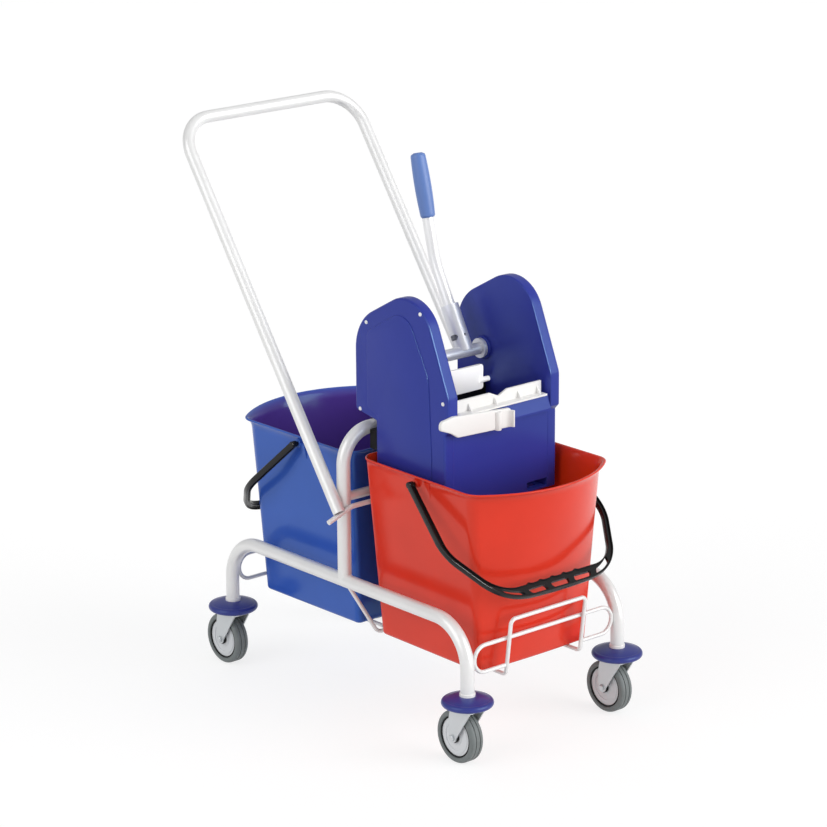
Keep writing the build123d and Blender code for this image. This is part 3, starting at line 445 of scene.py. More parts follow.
class TrolleyBailSizes(bpy.types.PropertyGroup):
    """Sizes of one bail, a flat band in its own plane."""

    depth: length("Depth", "Thickness of the band across its plane", 0.0095)
    width: length("Width", "Breadth of the arms", 0.0105)
    grip_breadth: length("Grip breadth", "Breadth of the grip", 0.0205)
    reach: length("Reach", "Pivot to the inner edge of the grip", 0.2205)
    shoulder: length("Shoulder", "Pivot to shoulder along the reach", 0.133)
    spread: length("Spread", "How far the arms spread out to the shoulders", 0.0194)
    grip_span: length("Grip span", "Across the grip between the slanted shoulders", 0.230)
    outer_bend: length("Outer bend", "Radius of the outer edge's bends", 0.085)
    inner_bend: length("Inner bend", "Radius of the inner edge's bends", 0.060)
    rim_gap: length("Rim gap", "Rim to arm at the pivot", 0.0016)
    rib: length("Rib", "Width of the ribs along both edges", 0.0028)
    groove: length("Groove", "Depth of the groove between the ribs", 0.0026)
    eye: length("Eye", "Diameter of the arm's end at the pivot", 0.0105)
    pin: length("Pin", "Diameter of the pivot pin", 0.006)
    pin_depth: length("Pin depth", "How far a pin reaches inside the bucket's wall", 0.0075)
    bow: length("Bow", "How far the grip's outer edge bows out", 0.0025)
    cusp: length("Cusp", "How far the finger cusps stand in", 0.0022)
    cusp_pitch: length("Cusp pitch", "Spacing of the finger cusps", 0.0245)
    cusp_shift: length("Cusp shift", "How far the finger cusps lie beside the middle", 0.0098)
    windows: IntProperty(name="Windows", description="Openings in the grip", default=5, min=0, max=7)
    window: length("Window", "Length of one opening in the grip", 0.036)
    window_breadth: length("Window breadth", "Breadth of one opening in the grip", 0.010)
    window_edge: length("Window edge", "Outer edge of the grip to the openings", 0.0052)
    window_round: length("Window round", "Corner radius of the openings", 0.003)
    pitch: length("Pitch", "Spacing of the openings in the grip", 0.048)
    red_lean: angle("Red lean", "How far the red bail hangs down", 39.2)
    blue_lean: angle("Blue lean", "How far the blue bail hangs down", 43)


class TrolleyWringerSizes(bpy.types.PropertyGroup):
    """Sizes of the wringer's mouldings."""

    bottom: length("Bottom", "Underside above the floor", 0.370)
    rear: length("Rear", "Rear wall from the centre arch", 0.0295)
    front: length("Front", "Front wall from the centre arch", 0.1925)
    cheek_rear: length("Cheek rear", "Rear edge of the cheeks from the centre arch", -0.020)
    cheek_front: length("Cheek front", "Front edge of the cheeks from the centre arch", 0.201)
    half_width: length("Half width", "Middle to the raised panel", 0.1185)
    panel: length("Panel", "How far the raised panel stands out", 0.0015)
    edge: length("Edge", "Rounding of the cheeks' outer edges", 0.004)
    inner_face: length("Inner face", "Middle to the cheeks' inner faces", 0.0972)
    inner_edge: length("Inner edge", "Rounding of the cheeks' inner edges", 0.0022)
    skin: length("Skin", "How far the cheek mouldings lie over the body", 0.00035)
    clip_reach: length("Clip reach", "Middle to the tip of the clip's tab", 0.137)
    clip_end: length("Clip end", "Middle to the clip's curled end", 0.008)
    clip_top: length("Clip top", "Top of the clip above the wringer's underside", 0.160)
    clip_bottom: length("Clip bottom", "Underside of the clip above the wringer's underside", 0.125)


class TrolleyLeverSizes(bpy.types.PropertyGroup):
    """Sizes of the lever's grip."""

    grip_length: length("Grip length", "Length of the grip", 0.104)
    grip_end: length("Grip end", "Diameter of the grip at its ends", 0.0232)
    grip_middle: length("Grip middle", "Diameter of the grip in the middle", 0.0272)
    tilt: angle("Tilt", "How far the grip leans back from upright", 14)


class TrolleyStage(bpy.types.PropertyGroup):
    """Camera, floor and light."""

    azimuth: angle("Azimuth", "Camera's turn from the right side to the front", 49.2)
    elevation: angle("Elevation", "Camera above the horizon", 16.59)
    roll: angle("Roll", "Camera's lean", -0.37)
    distance: length("Distance", "Camera to the trolley", 5.36)
    aim: length("Aim", "Height of the point in the arch that the camera is set by", 0.405)
    shift: length("Shift", "Middle of the picture to the right of that point", -0.0107)
    rise: length("Rise", "Middle of the picture above that point", 0.0604)
    lens: amount("Lens", "Focal length in millimetres, for a sensor 36 wide", 145.56)
    sky: amount("Sky", "Strength of the even light", 0.50)
    glow: amount("Glow", "Strength of the floor's own light", 0.76)
    key: amount("Key", "Strength of the lamp on the right side", 1.0)
    fill: amount("Fill", "Strength of the lamp on the front", 2.1)
    press: amount("Press", "Strength of the lamp on the press plate", 4.3)
    edge: amount("Edge", "Strength of the gloss on edges", 7.5)


# Buckets

# Points along each stretch of half a bucket's plan.
PLAN_STEPS = {"rear": 12, "corner": 12, "side": 30, "tip": 14, "nose": 34}
# Rings up the outside of a bucket's wall, down its inside, and round each of its bends.
OUTER_RINGS = 26
INNER_RINGS = 22
BEND_RINGS = 9


def bucket_plan(half, rear, front, bow, flare, rear_round, tip_round):
    """Plan of the bucket at one height, anticlockwise. One half is a flat rear, a rear corner arc,
    a straight side that flares by flare, a tip arc, and the nose, an arc through the two tips
    and the front; the other half is its mirror image. The tip arc touches both the side
    and the nose, so its centre lies r inside the side and R - r from the nose's centre."""
    tip = np.array([front - bow, half + flare])
    heel = np.array([rear, half])
    along = unit(tip - heel)
    inward = np.array([along[1], -along[0]])
    nose_radius = (tip[1] ** 2 + bow ** 2) / (2 * bow)
    nose_centre = np.array([front - nose_radius, 0.0])
    slide = rear_round * (1 - inward[0]) / along[0]
    rear_centre = heel + along * slide + inward * rear_round
    offset = heel + inward * tip_round - nose_centre
    run = -(offset @ along)
    run += math.sqrt((offset @ along) ** 2 - offset @ offset + (nose_radius - tip_round) ** 2)
    tip_centre = nose_centre + offset + along * run
    tip_out = unit(tip_centre - nose_centre)
    side_turn = math.atan2(-inward[1], -inward[0])
    nose_turn = math.atan2(tip_out[1], tip_out[0])

    def arc(centre, radius, start, end, steps):
        t = np.linspace(start, end, steps)
        return centre + radius * np.stack([np.cos(t), np.sin(t)], 1)

    across = np.linspace(0, rear_centre[1], PLAN_STEPS["rear"], endpoint=False)
    rear_line = np.stack([np.full(len(across), rear), across], 1)
    rear_arc = arc(rear_centre, rear_round, math.pi, side_turn, PLAN_STEPS["corner"])
    tip_arc = arc(tip_centre, tip_round, side_turn, nose_turn, PLAN_STEPS["tip"])
    t = np.linspace(0, 1, PLAN_STEPS["side"])[1:-1, None]
    side = rear_arc[-1] * (1 - t) + tip_arc[0] * t
    nose = arc(nose_centre, nose_radius, nose_turn, 0, PLAN_STEPS["nose"])[1:]
    right = np.vstack([rear_line, rear_arc, side, tip_arc, nose])
    left = right[1:-1][::-1] * (1, -1)
    return np.vstack([right, left])[::-1]


def bucket_skin(s):
    """One closed skin of rings: up the outer wall, out along the sweep, round the rolled edge, back along
    the sweep, down the inner wall and in to the floor. A wall ring is the straight blend of the
    foot's and the rim's plans at its height. On the sweep it goes over to the rim's line by
    1 - cos t while the height grows with sin t. Also the share of each ring that is inside."""
    half = s.rim_width / 2
    foot = bucket_plan(
        s.foot_width / 2, s.foot_rear, s.rim_length - s.foot_front, s.foot_nose, s.flare,
        s.wall_corner, s.wall_corner,
    )
    top = bucket_plan(
        half - s.flange, s.flange, s.rim_length - s.flange, s.nose, s.flare, s.wall_corner, s.wall_tip
    )
    rim_line = bucket_plan(half, 0, s.rim_length, s.nose, s.flare, s.rim_corner, s.rim_tip)
    rim = s.base + s.height
    start = rim - s.sweep
    floor = s.base + s.floor
    edge = s.roll / 2
    rows = []

    def ring(z, share=0.0, inset=0.0, inside=0.0):
        wall = foot + (top - foot) * (z - s.base) / s.height
        line = wall + (rim_line - wall) * share
        flat = line - outward(line) * inset
        rows.append((np.column_stack([flat, np.full(len(flat), z)]), inside))

    quarter = np.linspace(0, math.pi / 2, BEND_RINGS)
    for t in quarter:
        ring(s.base + s.floor_round * (1 - math.cos(t)), 0, s.floor_round * (1 - math.sin(t)))
    for z in np.linspace(s.base + s.floor_round, start, OUTER_RINGS)[1:-1]:
        ring(z)
    for t in quarter:
        share = 1 - math.cos(t)
        ring(start + (s.sweep - s.roll) * math.sin(t), share, edge * share)
    for t in np.linspace(0, math.pi, BEND_RINGS)[1:-1]:
        ring(rim - edge * (1 + math.cos(t)), 1, edge * (1 - math.sin(t)))
    for t in quarter[::-1]:
        share = 1 - math.cos(t)
        ring(start + s.sweep * math.sin(t), share, edge * share + s.wall * (1 - share), 1 - share)
    for z in np.linspace(start, floor + s.floor_round, INNER_RINGS)[1:]:
        ring(z, 0, s.wall, 1)
    for t in quarter[1:]:
        ring(floor + s.floor_round * (1 - math.sin(t)), 0, s.wall + s.floor_round * (1 - math.cos(t)), 1)
    rings = np.stack([row for row, inside in rows])
    # The share that is inside marks where the colour of painted light and shade goes.
    inside = np.repeat([share for row, share in rows], rings.shape[1])
    return lofted(rings), inside


def wedge(top, foot, top_size, foot_size, edge):
    """A stop rib that tapers downwards: rounded oblong rings from its top to its foot."""
    top, foot = np.array(top), np.array(foot)
    rings = []
    for share in np.linspace(0, 1, 6):
        long, deep = np.array(top_size) * (1 - share) + np.array(foot_size) * share
        x, y, z = top * (1 - share) + foot * share
        plan = [(x + i * long / 2, y + j * deep / 2) for i, j in SQUARE]
        flat = round_corners(plan, [edge] * len(plan), 5)
        rings.append(np.column_stack([flat, np.full(len(flat), z)]))
    return lofted(np.stack(rings))


def bucket_fittings(s):
    """Pivot bosses for the bail and a wedge-shaped stop rib beside each of them."""
    sunk = 3 * MM
    rim = s.base + s.height
    wall = s.rim_width / 2 - s.flange
    face = s.rim_width / 2 - 1.5 * MM
    radius = 7 * MM
    profile = [
        (radius, wall - sunk), (radius, face - 0.8 * MM), (radius - 0.6 * MM, face - 0.2 * MM),
        (radius - 2 * MM, face),
    ]
    boss = turned(profile, (s.pivot, 0, rim - s.pivot_drop), (0, 1, 0), 40)
    shapes = [boss, mirrored(boss)]
    height = 26 * MM
    slant = 3 * MM
    top_size = (12 * MM, 9 * MM)
    foot_size = (7 * MM, 5 * MM)
    edge = 1.2 * MM
    for side, ahead, drop in ((-1, 25 * MM, 7 * MM), (1, -9 * MM, 12 * MM)):
        x = s.pivot + ahead
        top = (x, side * wall, rim - drop)
        foot = (x - side * slant, side * (wall - sunk), rim - drop - height)
        shapes.append(wedge(top, foot, top_size, foot_size, edge))
    return joined(*shapes)


class TROLLEY_OT_buckets(bpy.types.Operator):
    """Moulds the red and the blue bucket, the same shape turned round"""

    bl_idname = "trolley.buckets"
    bl_label = "Buckets"

    def execute(self, context):
        s = context.scene.trolley_buckets
        c = context.scene.trolley_colours
        skin, inside = bucket_skin(s)
        shape = joined(skin, bucket_fittings(s))
        shine = {"roughness": 0.17, "gloss": 0.4}
        # The inside colours are painted light in the red bucket and painted shade in the blue one.
        finishes = {
            "red": moulded("bucket_red", c.red, tint=(1, 0.6, 0.5), painted_shading=c.red_inside_painted_light, **shine),
            "blue": moulded("bucket_blue", c.blue, tint=(0.45, 0.85, 1), painted_shading=c.blue_inside_painted_shade, **shine),
        }
        for name, rear, turn in (("red", s.red_rear, 1), ("blue", s.blue_rear, -1)):
            points = shape[0] * (turn, turn, 1) + (rear, 0, 0)
            bucket = piece(
                f"{name}_bucket_moulding", (points, shape[1]), finishes[name], f"{name}_pail",
                [f"{name}_bucket"],
            )
            # The inside of the bucket gets the colour of painted light and shade, by the share of each
            # point that is inside.
            painted_shading = bucket.data.attributes.new("painted_shading", "FLOAT", "POINT")
            values = np.zeros(len(bucket.data.vertices), np.float32)
            values[: len(inside)] = inside
            painted_shading.data.foreach_set("value", values)
        return {"FINISHED"}


# Bails

# Points along a bail's edge and in each of its bends.
BAIL_STEPS = 1000
BAIL_BEND_STEPS = 24
# Height of a rib from the band's edge inwards, as shares of half the band's depth.
RIB_RISE = [0.60, 0.88, 1, 0.97]
# How much shallower the groove is along the grip.
GRIP_GROOVE = 0.2
CUSPS = 5
# Past the room of the last window, the grip changes to the arm by 3t^2 - 2t^3 between these.
BLEND_START = -3 * MM
BLEND_END = 16 * MM


def bail_edges(s, half_width):
    """Inner and outer edge of the bail in its own plane (reach, sideways), paired at even steps along the
    line midway between them. Each has two spreading arms, slanted shoulders and the grip. The outer edge
    bows out by b(1 - (y/h)^2) along the grip, and the inner edge has finger cusps, each the eighth power
    of a cosine."""

    def edge(sideways, ahead, bend):
        eye = half_width + s.rim_gap + sideways
        half = np.array([(0, eye), (s.shoulder, eye + s.spread), (s.reach + ahead, s.grip_span / 2)])
        corners = np.vstack([half * (1, -1), half[::-1]])
        return round_corners(corners, [bend] * len(corners), BAIL_BEND_STEPS, closed=False)

    inner = edge(0, 0, s.inner_bend)
    outer = edge(s.width, s.grip_breadth, s.outer_bend)
    middle = (inner + outer) / 2
    inner = evenly(inner, BAIL_STEPS + 1, middle)
    outer = evenly(outer, BAIL_STEPS + 1, middle)
    bow_half = s.grip_span / 3
    outer[:, 0] += s.bow * np.clip(1 - (outer[:, 1] / bow_half) ** 2, 0, 1)
    off_middle = inner[:, 1] + s.cusp_shift
    cusps = np.abs(np.cos(math.pi * off_middle / s.cusp_pitch)) ** 8
    inner[:, 0] -= s.cusp * cusps * (np.abs(off_middle) < CUSPS * s.cusp_pitch / 2)
    return inner, outer


def bail_band(s, half_width):
    """The band as a plate of cells with an upper and a lower layer. Across it the layers rise to a rib
    along each edge and sink to a groove between, shallower along the grip. The cells of the windows are
    left out, and side faces close the borders of the filled ones. A window's long sides draw in by
    r - sqrt(r^2 - d^2) over the last r of its length, where d is how far into it they are."""
    inner, outer = bail_edges(s, half_width)
    steps = len(inner)
    middle = (inner + outer) / 2
    along = np.r_[0, np.cumsum(np.linalg.norm(np.diff(middle, axis=0), axis=1))]
    along -= along[-1] / 2
    reach = s.windows * s.pitch / 2
    t = np.clip((np.abs(along) - reach - BLEND_START) / (BLEND_END - BLEND_START), 0, 1)
    grip = 1 - t * t * (3 - 2 * t)
    breadth = np.linalg.norm(outer - inner, axis=1)
    place = np.abs((along + reach) % s.pitch - s.pitch / 2)
    corner = np.clip(place - s.window / 2 + s.window_round, 0, s.window_round)
    drawn_in = s.window_round - np.sqrt(s.window_round ** 2 - corner ** 2)
    far = breadth - s.window_edge
    first = breadth * 0.45 * (1 - grip) + (far - s.window_breadth + drawn_in) * grip
    last = breadth * 0.55 * (1 - grip) + (far - drawn_in) * grip
    near = np.outer(np.ones(steps), [0, 0.4 * MM, 1.1 * MM, s.rib - 0.4 * MM, s.rib + 0.2 * MM])
    across = np.hstack([near, first[:, None], last[:, None], breadth[:, None] - near[:, ::-1]])
    columns = across.shape[1]
    window_column = near.shape[1]
    rise = np.array(RIB_RISE + [0] * (columns - 2 * len(RIB_RISE)) + RIB_RISE[::-1])
    floor = 1 - 2 * s.groove / s.depth * (1 - GRIP_GROOVE * grip)
    height = np.where(rise == 0, floor[:, None], rise) * s.depth / 2
    share = across / breadth[:, None]
    flat = inner[:, None] + (outer - inner)[:, None] * share[..., None]
    points = np.stack([np.concatenate([flat, side * height[..., None]], -1) for side in (1, -1)])

    cell = (along[1:] + along[:-1]) / 2
    open_cell = ((place[1:] + place[:-1]) / 2 < s.window / 2) & (np.abs(cell) < reach)
    filled = ~(open_cell[:, None] & (np.arange(columns - 1) == window_column)[None])
    upper, lower = np.arange(2 * steps * columns).reshape(2, steps, columns)
    padded = np.pad(filled, 1)
    rows_differ = padded[1:, 1:-1] != padded[:-1, 1:-1]
    columns_differ = padded[1:-1, 1:] != padded[1:-1, :-1]

    def quads(mask, *corners):
        return np.stack([corner[mask] for corner in corners], 1)

    faces = np.vstack([
        quads(filled, upper[:-1, :-1], upper[1:, :-1], upper[1:, 1:], upper[:-1, 1:]),
        quads(filled, lower[:-1, 1:], lower[1:, 1:], lower[1:, :-1], lower[:-1, :-1]),
        quads(rows_differ, upper[:, :-1], upper[:, 1:], lower[:, 1:], lower[:, :-1]),
        quads(columns_differ, upper[:-1], upper[1:], lower[1:], lower[:-1]),
    ])
    used = np.unique(faces)
    renumber = np.zeros(points.size // 3, int)
    renumber[used] = np.arange(len(used))
    return points.reshape(-1, 3)[used], renumber[faces].tolist()


def bail_shape(s, half_width, pin_root):
    """Band with a rounded eye and a pivot pin at each end, in the bail's own plane."""
    low = half_width + s.rim_gap
    eye = peg_profile(s.eye / 2, low, low + s.width, 1.2 * MM, 0.35 * MM, 0.35 * MM)
    end = turned(eye, (0, 0, 0), (0, 1, 0), 40)
    pin = turned([(s.pin / 2, pin_root), (s.pin / 2, low + s.width / 2)], (0, 0, 0), (0, 1, 0), 28)
    return joined(bail_band(s, half_width), end, mirrored(end), pin, mirrored(pin))


class TROLLEY_OT_bails(bpy.types.Operator):
    """Moulds the black bails with their grooved arms and windowed grips"""

    bl_idname = "trolley.bails"
    bl_label = "Bails"

    def execute(self, context):
        s = context.scene.trolley_bails
        b = context.scene.trolley_buckets
        black = moulded("bail_black", context.scene.trolley_colours.black, 0.25, 0.15, gloss=0.3)
        pin_root = b.rim_width / 2 - b.flange - s.pin_depth
        points, faces = bail_shape(s, b.rim_width / 2, pin_root)
        z = b.base + b.height - b.pivot_drop
        for name, ahead, rear, lean in (
            ("red", 1, b.red_rear, s.red_lean),
            ("blue", -1, b.blue_rear, s.blue_lean),
        ):
            reach = np.array([ahead * math.cos(lean), 0, -math.sin(lean)])
            across = np.array([0, ahead, 0])
            normal = np.array([ahead * math.sin(lean), 0, math.cos(lean)])
            placed = points[:, :1] * reach + points[:, 1:2] * across + points[:, 2:] * normal
            placed = placed + (rear + ahead * b.pivot, 0, z)
            piece(
                f"{name}_bail_moulding", (placed, faces), black, f"{name}_pail_handle",
                [f"{name}_bail"], sharp=50,
            )
        return {"FINISHED"}


# Wringer


def cheek_outline(s):
    """Side view of the wringer: the box below and the rounded cheek above it."""
    corners = [
        (s.rear, 0, 0.003), (s.front, 0, 0.003), (s.front, 0.1265, 0.002), (s.cheek_front, 0.135, 0.004),
        (s.cheek_front, 0.188, 0.024), (0.133, 0.354, 0.064), (s.cheek_rear, 0.269, 0.075),
        (s.cheek_rear, 0.125, 0.006), (s.rear, 0.116, 0.003),
    ]
    line = anticlockwise(outlined(corners, 18, s.bottom))
    return line + outward(line) * s.skin


def panel_outline(s):
    """Side view of the raised panel on a cheek cover."""
    corners = [
        (0.0355, 0.0015, 0.002), (0.1625, 0.0015, 0.002), (0.1625, 0.083, 0.040), (0.156, 0.212, 0.060),
        (0.103, 0.312, 0.034), (0.010, 0.257, 0.020), (0.010, 0.137, 0.004), (0.0355, 0.125, 0.006),
    ]
    return outlined(corners, 12, s.bottom)


class TROLLEY_OT_wringer(bpy.types.Operator):
    """Moulds the wringer's rounded cheeks and finishes its other plastic pieces"""

    bl_idname = "trolley.wringer"
    bl_label = "Wringer"

    def execute(self, context):
        s = context.scene.trolley_wringer
        c = context.scene.trolley_colours
        blue = moulded("wringer_blue", c.wringer, 0.3, 0.04, gloss=0.3, tint=(0.5, 0.85, 1))
        face = s.half_width - s.panel
        cover = slab(cheek_outline(s), s.inner_face, face, s.inner_edge, s.edge, steps=7)
        panel_root = face - 0.5 * MM
        panel_edge = 1.2 * MM
        panel = slab(panel_outline(s), panel_root, s.half_width, 0, panel_edge)
        shape = joined(cover, panel)
        for side, cheek in (("left", shape), ("right", mirrored(shape))):
            covers = [f"{side}_cheek_cover"]
            piece(f"{side}_cheek_moulding", cheek, blue, "wringer", covers)
        dress(["wringer_body", "shaft_bushes"], blue)
        dress(["cheek_rivets"], moulded("rivet_white", c.rivet, 0.25, 0.03))
        black = moulded("hook_black", c.black, 0.45, 0.2, 0.03 * MM, gloss=0.2)
        dress(["wringer_hooks", "press_backing"], black)
        return {"FINISHED"}


def clip_shape(s):
    """Clip bar on the wringer's front: a tapered tab and bar with rounded edges, a half-round rib and a
    curled end, which is a quarter turn of sheet."""
    gap = 0.3 * MM
    thickness = 6 * MM
    back = s.cheek_front + gap
    face = back + thickness
    low = s.bottom + s.clip_bottom
    high = s.bottom + s.clip_top
    tab = (high - low) / 4
    tip = -s.clip_reach
    corners = [
        (tip, low + 2 * tab, 5 * MM), (tip + 2.5 * tab, low + tab, 8 * MM), (tip + 4 * tab, low, 4 * MM),
        (s.clip_end, low - tab / 2, 2 * MM), (s.clip_end, high - tab, 5 * MM),
        (tip + 3 * tab, high, 12 * MM), (tip, high - tab / 2, 7 * MM),
    ]
    edge = 0.5 * MM
    bar = slab(outlined(corners, 8), back, face, edge, 1.8 * MM, (1, 2, 0))
    rib_radius = 5.5 * MM
    rib_foot = low - 4 * MM
    rib_head = high - 9 * MM
    rib_y = s.clip_end - 28 * MM
    rib_profile = peg_profile(rib_radius, rib_foot, rib_head, 1.2 * MM, 0.3 * MM, 0.4 * MM)
    rib = turned(rib_profile, (face, rib_y, 0), (0, 0, 1), 40)
    curl_start = s.clip_end - 10 * MM
    curl_sunk = 1 * MM
    bend = 9 * MM
    half_sheet = 1.1 * MM
    t = np.linspace(0, math.pi / 2, 12)
    y = curl_start + bend * np.sin(t)
    x = face - curl_sunk + bend * (1 - np.cos(t))
    middle = np.column_stack([x, y])
    out = unit(np.column_stack([np.gradient(y), -np.gradient(x)]))
    curl = np.vstack([middle + out * half_sheet, (middle - out * half_sheet)[::-1]])
    end = slab(curl, low - 3 * MM, high - tab - 2 * MM, edge, edge, (0, 1, 2))
    return joined(bar, rib, end)


class TROLLEY_OT_press(bpy.types.Operator):
    """Moulds the white clip and finishes the press plates"""

    bl_idname = "trolley.press"
    bl_label = "Press plates"

    def execute(self, context):
        s = context.scene.trolley_wringer
        white = moulded("press_white", context.scene.trolley_colours.white, 0.35, 0.02, gloss=0.4)
        piece("front_clip_moulding", clip_shape(s), white, "wringer", ["front_clip_bar"])
        plates = ["front_press_plate", "rear_press_plate"]
        dress([*plates, "press_arm"], white)
        soften(plates, 0.6 * MM)
        return {"FINISHED"}


# Lever


def grip_shape(s):
    """Barrel-shaped grip where its CAD node is. The radius grows from the ends to the middle with
    sin(pi t)^0.8, and each end is rounded off by its own radius."""
    axis = np.array([-math.sin(s.tilt), 0, math.cos(s.tilt)])
    t = np.linspace(0, 1, 40)
    belly = (s.grip_end + (s.grip_middle - s.grip_end) * np.sin(math.pi * t) ** 0.8) / 2
    height = (t - 0.5) * s.grip_length
    to_end = np.minimum(t, 1 - t) * s.grip_length
    foot_round = 1.5 * MM
    head_round = 5 * MM
    corner = np.where(t < 0.5, foot_round, head_round)
    inside = np.maximum(corner - to_end, 0)
    radius = belly - corner + np.sqrt(np.maximum(corner ** 2 - inside ** 2, 0))
    centre = middle_of("lever_grip") - (CHASSIS_X, 0, 0)
    return turned(np.column_stack([radius, height]), centre, axis, 48)


class TROLLEY_OT_lever(bpy.types.Operator):
    """Turns the barrel-shaped grip and finishes the lever with its shaft"""

    bl_idname = "trolley.lever"
    bl_label = "Lever"

    def execute(self, context):
        s = context.scene.trolley_lever
        c = context.scene.trolley_colours
        dress(["lever_shaft"], plated("shaft_silver", c.shaft, 0.38, 0.45))
        dress(["lever_tube"], plated("lever_grey", c.lever, 0.3, 0.3, stretch=(1, 1, 0.06)))
        dress(["press_pin"], plated("pin_zinc", c.zinc, 0.35))
        blue = moulded("grip_blue", c.grip, 0.35, 0.04, 0.02 * MM)
        piece("lever_grip_moulding", grip_shape(s), blue, "lever", ["lever_grip"], sharp=60)
        return {"FINISHED"}


# Chassis and casters


class TROLLEY_OT_chassis(bpy.types.Operator):
    """Finishes the silver tubes, the wires and the plugs in the posts"""

    bl_idname = "trolley.chassis"
    bl_label = "Chassis"

    def execute(self, context):
        c = context.scene.trolley_colours
        tubes = ["right_side_rail", "left_side_rail", "centre_arch", "arch_brace", "push_handle"]
        wires = [
            "leg_rods", "front_cradle_ring", "rear_cradle_ring", "front_cradle_wire", "rear_cradle_wire",
            "middle_hoop",
        ]
        dress(tubes, plated("frame_tube", c.frame, 0.3, 0.22))
        dress(wires, plated("cradle_wire", c.frame, 0.3, 0.12))
        dress(["post_plugs"], moulded("plug_white", c.white, 0.35, 0.02))
        return {"FINISHED"}


class TROLLEY_OT_casters(bpy.types.Operator):
    """Finishes the bumpers, forks and wheels"""

    bl_idname = "trolley.casters"
    bl_label = "Casters"

    def execute(self, context):
        c = context.scene.trolley_colours
        zinc = plated("zinc_steel", c.zinc, 0.38, 0.6)
        finishes = {
            "bumper": moulded("bumper_blue", c.bumper, 0.3, 0.04, tint=(0.6, 0.85, 1)),
            "caster_stem": zinc,
            "caster_fork": zinc,
            "wheel_axle": zinc,
            "wheel_core": moulded("wheel_black", c.core, 0.45, 0.2, gloss=0.15),
            "wheel_caps": moulded("hub_grey", c.hub, 0.4, 0.03),
            "tyre": rubbered("tyre_grey", c.tyre, 0.55),
        }
        for corner in ("front_right", "front_left", "rear_right", "rear_left"):
            for part, material in finishes.items():
                dress([f"{corner}_{part}"], material)
            soften([f"{corner}_caster_fork"], 0.8 * MM)
        return {"FINISHED"}


# Stage

# Greys of the room that gloss mirrors, by height: 0 is straight down, 0.5 level and 1 straight up.
ROOM = [(0.50, (0.9, 0.9, 0.9, 1)), (0.57, (0.40, 0.405, 0.41, 1)), (0.75, (0.62, 0.62, 0.63, 1))]
# The floor's grey where it throws light on the trolley, and under its own glow where it is seen.
FLOOR_GREY = (0.8, 0.8, 0.8, 1)
FLOOR_SEEN = (0.30, 0.30, 0.30, 1)
# Half the floor's side, and how far the floor lies below the tyres.
FLOOR_HALF = 6
FLOOR_DROP = 0.4 * MM
# Ways that the lamps on the right side and on the front shine, and how soft the lamps are, in degrees.
KEY_WAY = (0.05, 0.88, -0.42)
FILL_WAY = (-0.84, -0.42, -0.3)
SIDE_SPREAD = 50
PRESS_SPREAD = 30
EDGE_SPREAD = 25
# Pieces that the lamp on the press plate lights, and those with a gloss on their edges.
PRESS_LIT = ["rear_press_plate", "press_arm"]
EDGE_LIT = ["left_cheek_moulding", "right_cheek_moulding", "red_bail_moulding", "blue_bail_moulding"]


def either(tree, factor, first, second):
    """One shader or another, by a factor."""
    return add(tree, "MixShader", {0: factor, 1: first, 2: second}).outputs["Shader"]


def studio_world(strength):
    """Even light for matt surfaces, white for the camera, and a room of greys for gloss."""
    world = bpy.data.worlds.new("studio")
    bpy.context.scene.world = world
    world.use_nodes = True
    tree = world.node_tree
    tree.nodes.clear()
    ray = add(tree, "LightPath").outputs
    place = add(tree, "TexCoord").outputs["Generated"]
    height = add(tree, "SeparateXYZ", {"Vector": place}).outputs["Z"]
    greys = add(tree, "ValToRGB", {"Fac": spread(tree, height, 0, 1, -1, 1)})
    low, middle, high = ROOM
    stops = greys.color_ramp.elements
    stops[0].position, stops[0].color = low
    stops[1].position, stops[1].color = high
    stops.new(middle[0]).color = middle[1]
    even = add(tree, "Background", {"Color": WHITE, "Strength": strength})
    room = add(tree, "Background", {"Color": greys.outputs["Color"]})
    white = add(tree, "Background", {"Color": WHITE})
    light = either(tree, ray["Is Glossy Ray"], even.outputs["Background"], room.outputs["Background"])
    surface = either(tree, ray["Is Camera Ray"], light, white.outputs["Background"])
    add(tree, "OutputWorld", {"Surface": surface})


def studio_floor(strength):
    """A pale floor that looks white where nothing shades it and keeps the trolley's shadow."""
    corners = [(x * FLOOR_HALF, y * FLOOR_HALF, -FLOOR_DROP) for x, y in SQUARE]
    mesh = bpy.data.meshes.new("floor")
    mesh.from_pydata(corners, [], [(0, 1, 2, 3)])
    floor = bpy.data.objects.new("floor", mesh)
    bpy.context.scene.collection.objects.link(floor)
    material = bpy.data.materials.new("floor_white")
    material.use_nodes = True
    tree = material.node_tree
    tree.nodes.clear()
    ray = add(tree, "LightPath").outputs
    plain = add(tree, "BsdfDiffuse", {"Color": FLOOR_GREY})
    shaded = add(tree, "BsdfDiffuse", {"Color": FLOOR_SEEN})
    glow = add(tree, "Emission", {"Color": WHITE, "Strength": strength})
    lit = add(tree, "AddShader", {0: shaded.outputs["BSDF"], 1: glow.outputs["Emission"]})
    rays = {0: ray["Is Camera Ray"], 1: ray["Is Glossy Ray"]}
    seen = add(tree, "Math", rays, operation="MAXIMUM")
    surface = either(tree, seen.outputs["Value"], plain.outputs["BSDF"], lit.outputs["Shader"])
    add(tree, "OutputMaterial", {"Surface": surface})
    mesh.materials.append(material)


def sun(name, strength, degrees, towards, only=(), diffuse=True):
    """A soft distant lamp that shines along a direction. If pieces are named, it lights them alone,
    and without diffuse it is seen only as a gloss."""
    lamp = bpy.data.lights.new(name, "SUN")
    lamp.energy = strength
    lamp.angle = math.radians(degrees)
    holder = bpy.data.objects.new(name, lamp)
    holder.rotation_euler = Vector(towards).to_track_quat("-Z", "Y").to_euler()
    holder.visible_diffuse = diffuse
    bpy.context.scene.collection.objects.link(holder)
    if only:
        lit = bpy.data.collections.new(name)
        for part in only:
            lit.objects.link(NODES[part] if part in NODES else bpy.data.objects[part])
        holder.light_linking.receiver_collection = lit


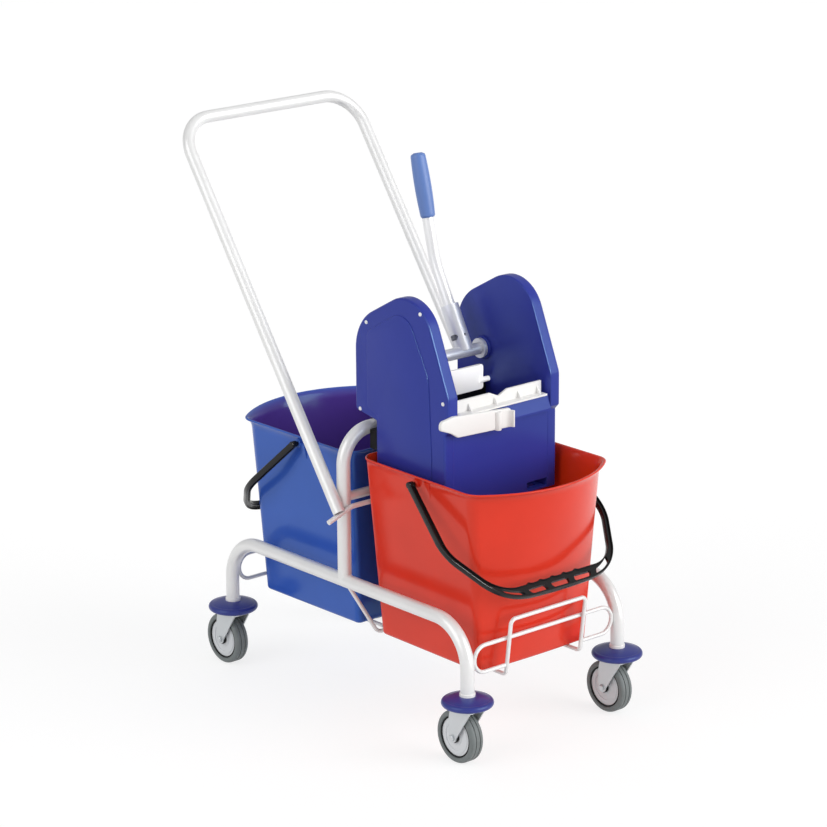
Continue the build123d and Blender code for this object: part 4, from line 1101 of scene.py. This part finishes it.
class TROLLEY_OT_stage(bpy.types.Operator):
    """Sets the camera, the pale floor and the soft studio light"""

    bl_idname = "trolley.stage"
    bl_label = "Stage"

    def execute(self, context):
        scene = context.scene
        s = scene.trolley_stage
        scene.view_settings.view_transform = "Standard"
        back = Vector((
            math.sin(s.azimuth) * math.cos(s.elevation),
            -math.cos(s.azimuth) * math.cos(s.elevation),
            math.sin(s.elevation),
        ))
        right = Vector((math.cos(s.azimuth), math.sin(s.azimuth), 0))
        up = back.cross(right)
        across = right * math.cos(s.roll) + up * math.sin(s.roll)
        over = up * math.cos(s.roll) - right * math.sin(s.roll)
        target = Vector((CHASSIS_X, 0, s.aim)) + across * s.shift + over * s.rise
        camera = bpy.data.objects.new("camera", bpy.data.cameras.new("camera"))
        camera.data.sensor_fit = "HORIZONTAL"
        camera.data.lens = s.lens
        turn = Matrix((across, over, back)).transposed().to_4x4()
        camera.matrix_world = Matrix.Translation(target + back * s.distance) @ turn
        scene.collection.objects.link(camera)
        scene.camera = camera
        studio_world(s.sky)
        studio_floor(s.glow)
        sun("key", s.key, SIDE_SPREAD, KEY_WAY)
        sun("fill", s.fill, SIDE_SPREAD, FILL_WAY)
        sun("press", s.press, PRESS_SPREAD, -back, PRESS_LIT)
        sun("edge", s.edge, EDGE_SPREAD, -back, EDGE_LIT, diffuse=False)
        return {"FINISHED"}


class TROLLEY_PT_build(bpy.types.Panel):
    """Lists the trolley's pieces and their sizes"""

    bl_idname = "TROLLEY_PT_build"
    bl_label = "Mop trolley"
    bl_space_type = "VIEW_3D"
    bl_region_type = "UI"
    bl_category = "Trolley"

    def draw(self, context):
        for name in BUILD_ORDER:
            self.layout.operator(f"trolley.{name}")
        for group in GROUPS:
            sizes = getattr(context.scene, group)
            box = self.layout.box()
            for key in sizes.__annotations__:
                box.prop(sizes, key)


GROUPS = {
    "trolley_colours": TrolleyColours,
    "trolley_buckets": TrolleyBucketSizes,
    "trolley_bails": TrolleyBailSizes,
    "trolley_wringer": TrolleyWringerSizes,
    "trolley_lever": TrolleyLeverSizes,
    "trolley_stage": TrolleyStage,
}
# The stage comes last, because its lamps name pieces that the others make.
BUILD_ORDER = ["chassis", "casters", "buckets", "bails", "wringer", "press", "lever", "stage"]
CLASSES = [
    *GROUPS.values(), TROLLEY_OT_stage, TROLLEY_OT_chassis, TROLLEY_OT_casters, TROLLEY_OT_buckets,
    TROLLEY_OT_bails, TROLLEY_OT_wringer, TROLLEY_OT_press, TROLLEY_OT_lever, TROLLEY_PT_build,
]


def register():
    for cls in CLASSES:
        bpy.utils.register_class(cls)
    for name, group in GROUPS.items():
        setattr(bpy.types.Scene, name, PointerProperty(type=group))


def unregister():
    for name in GROUPS:
        delattr(bpy.types.Scene, name)
    for cls in reversed(CLASSES):
        bpy.utils.unregister_class(cls)


def main():
    register()
    for name in BUILD_ORDER:
        getattr(bpy.ops.trolley, name)()


if __name__ == "__main__":
    main()
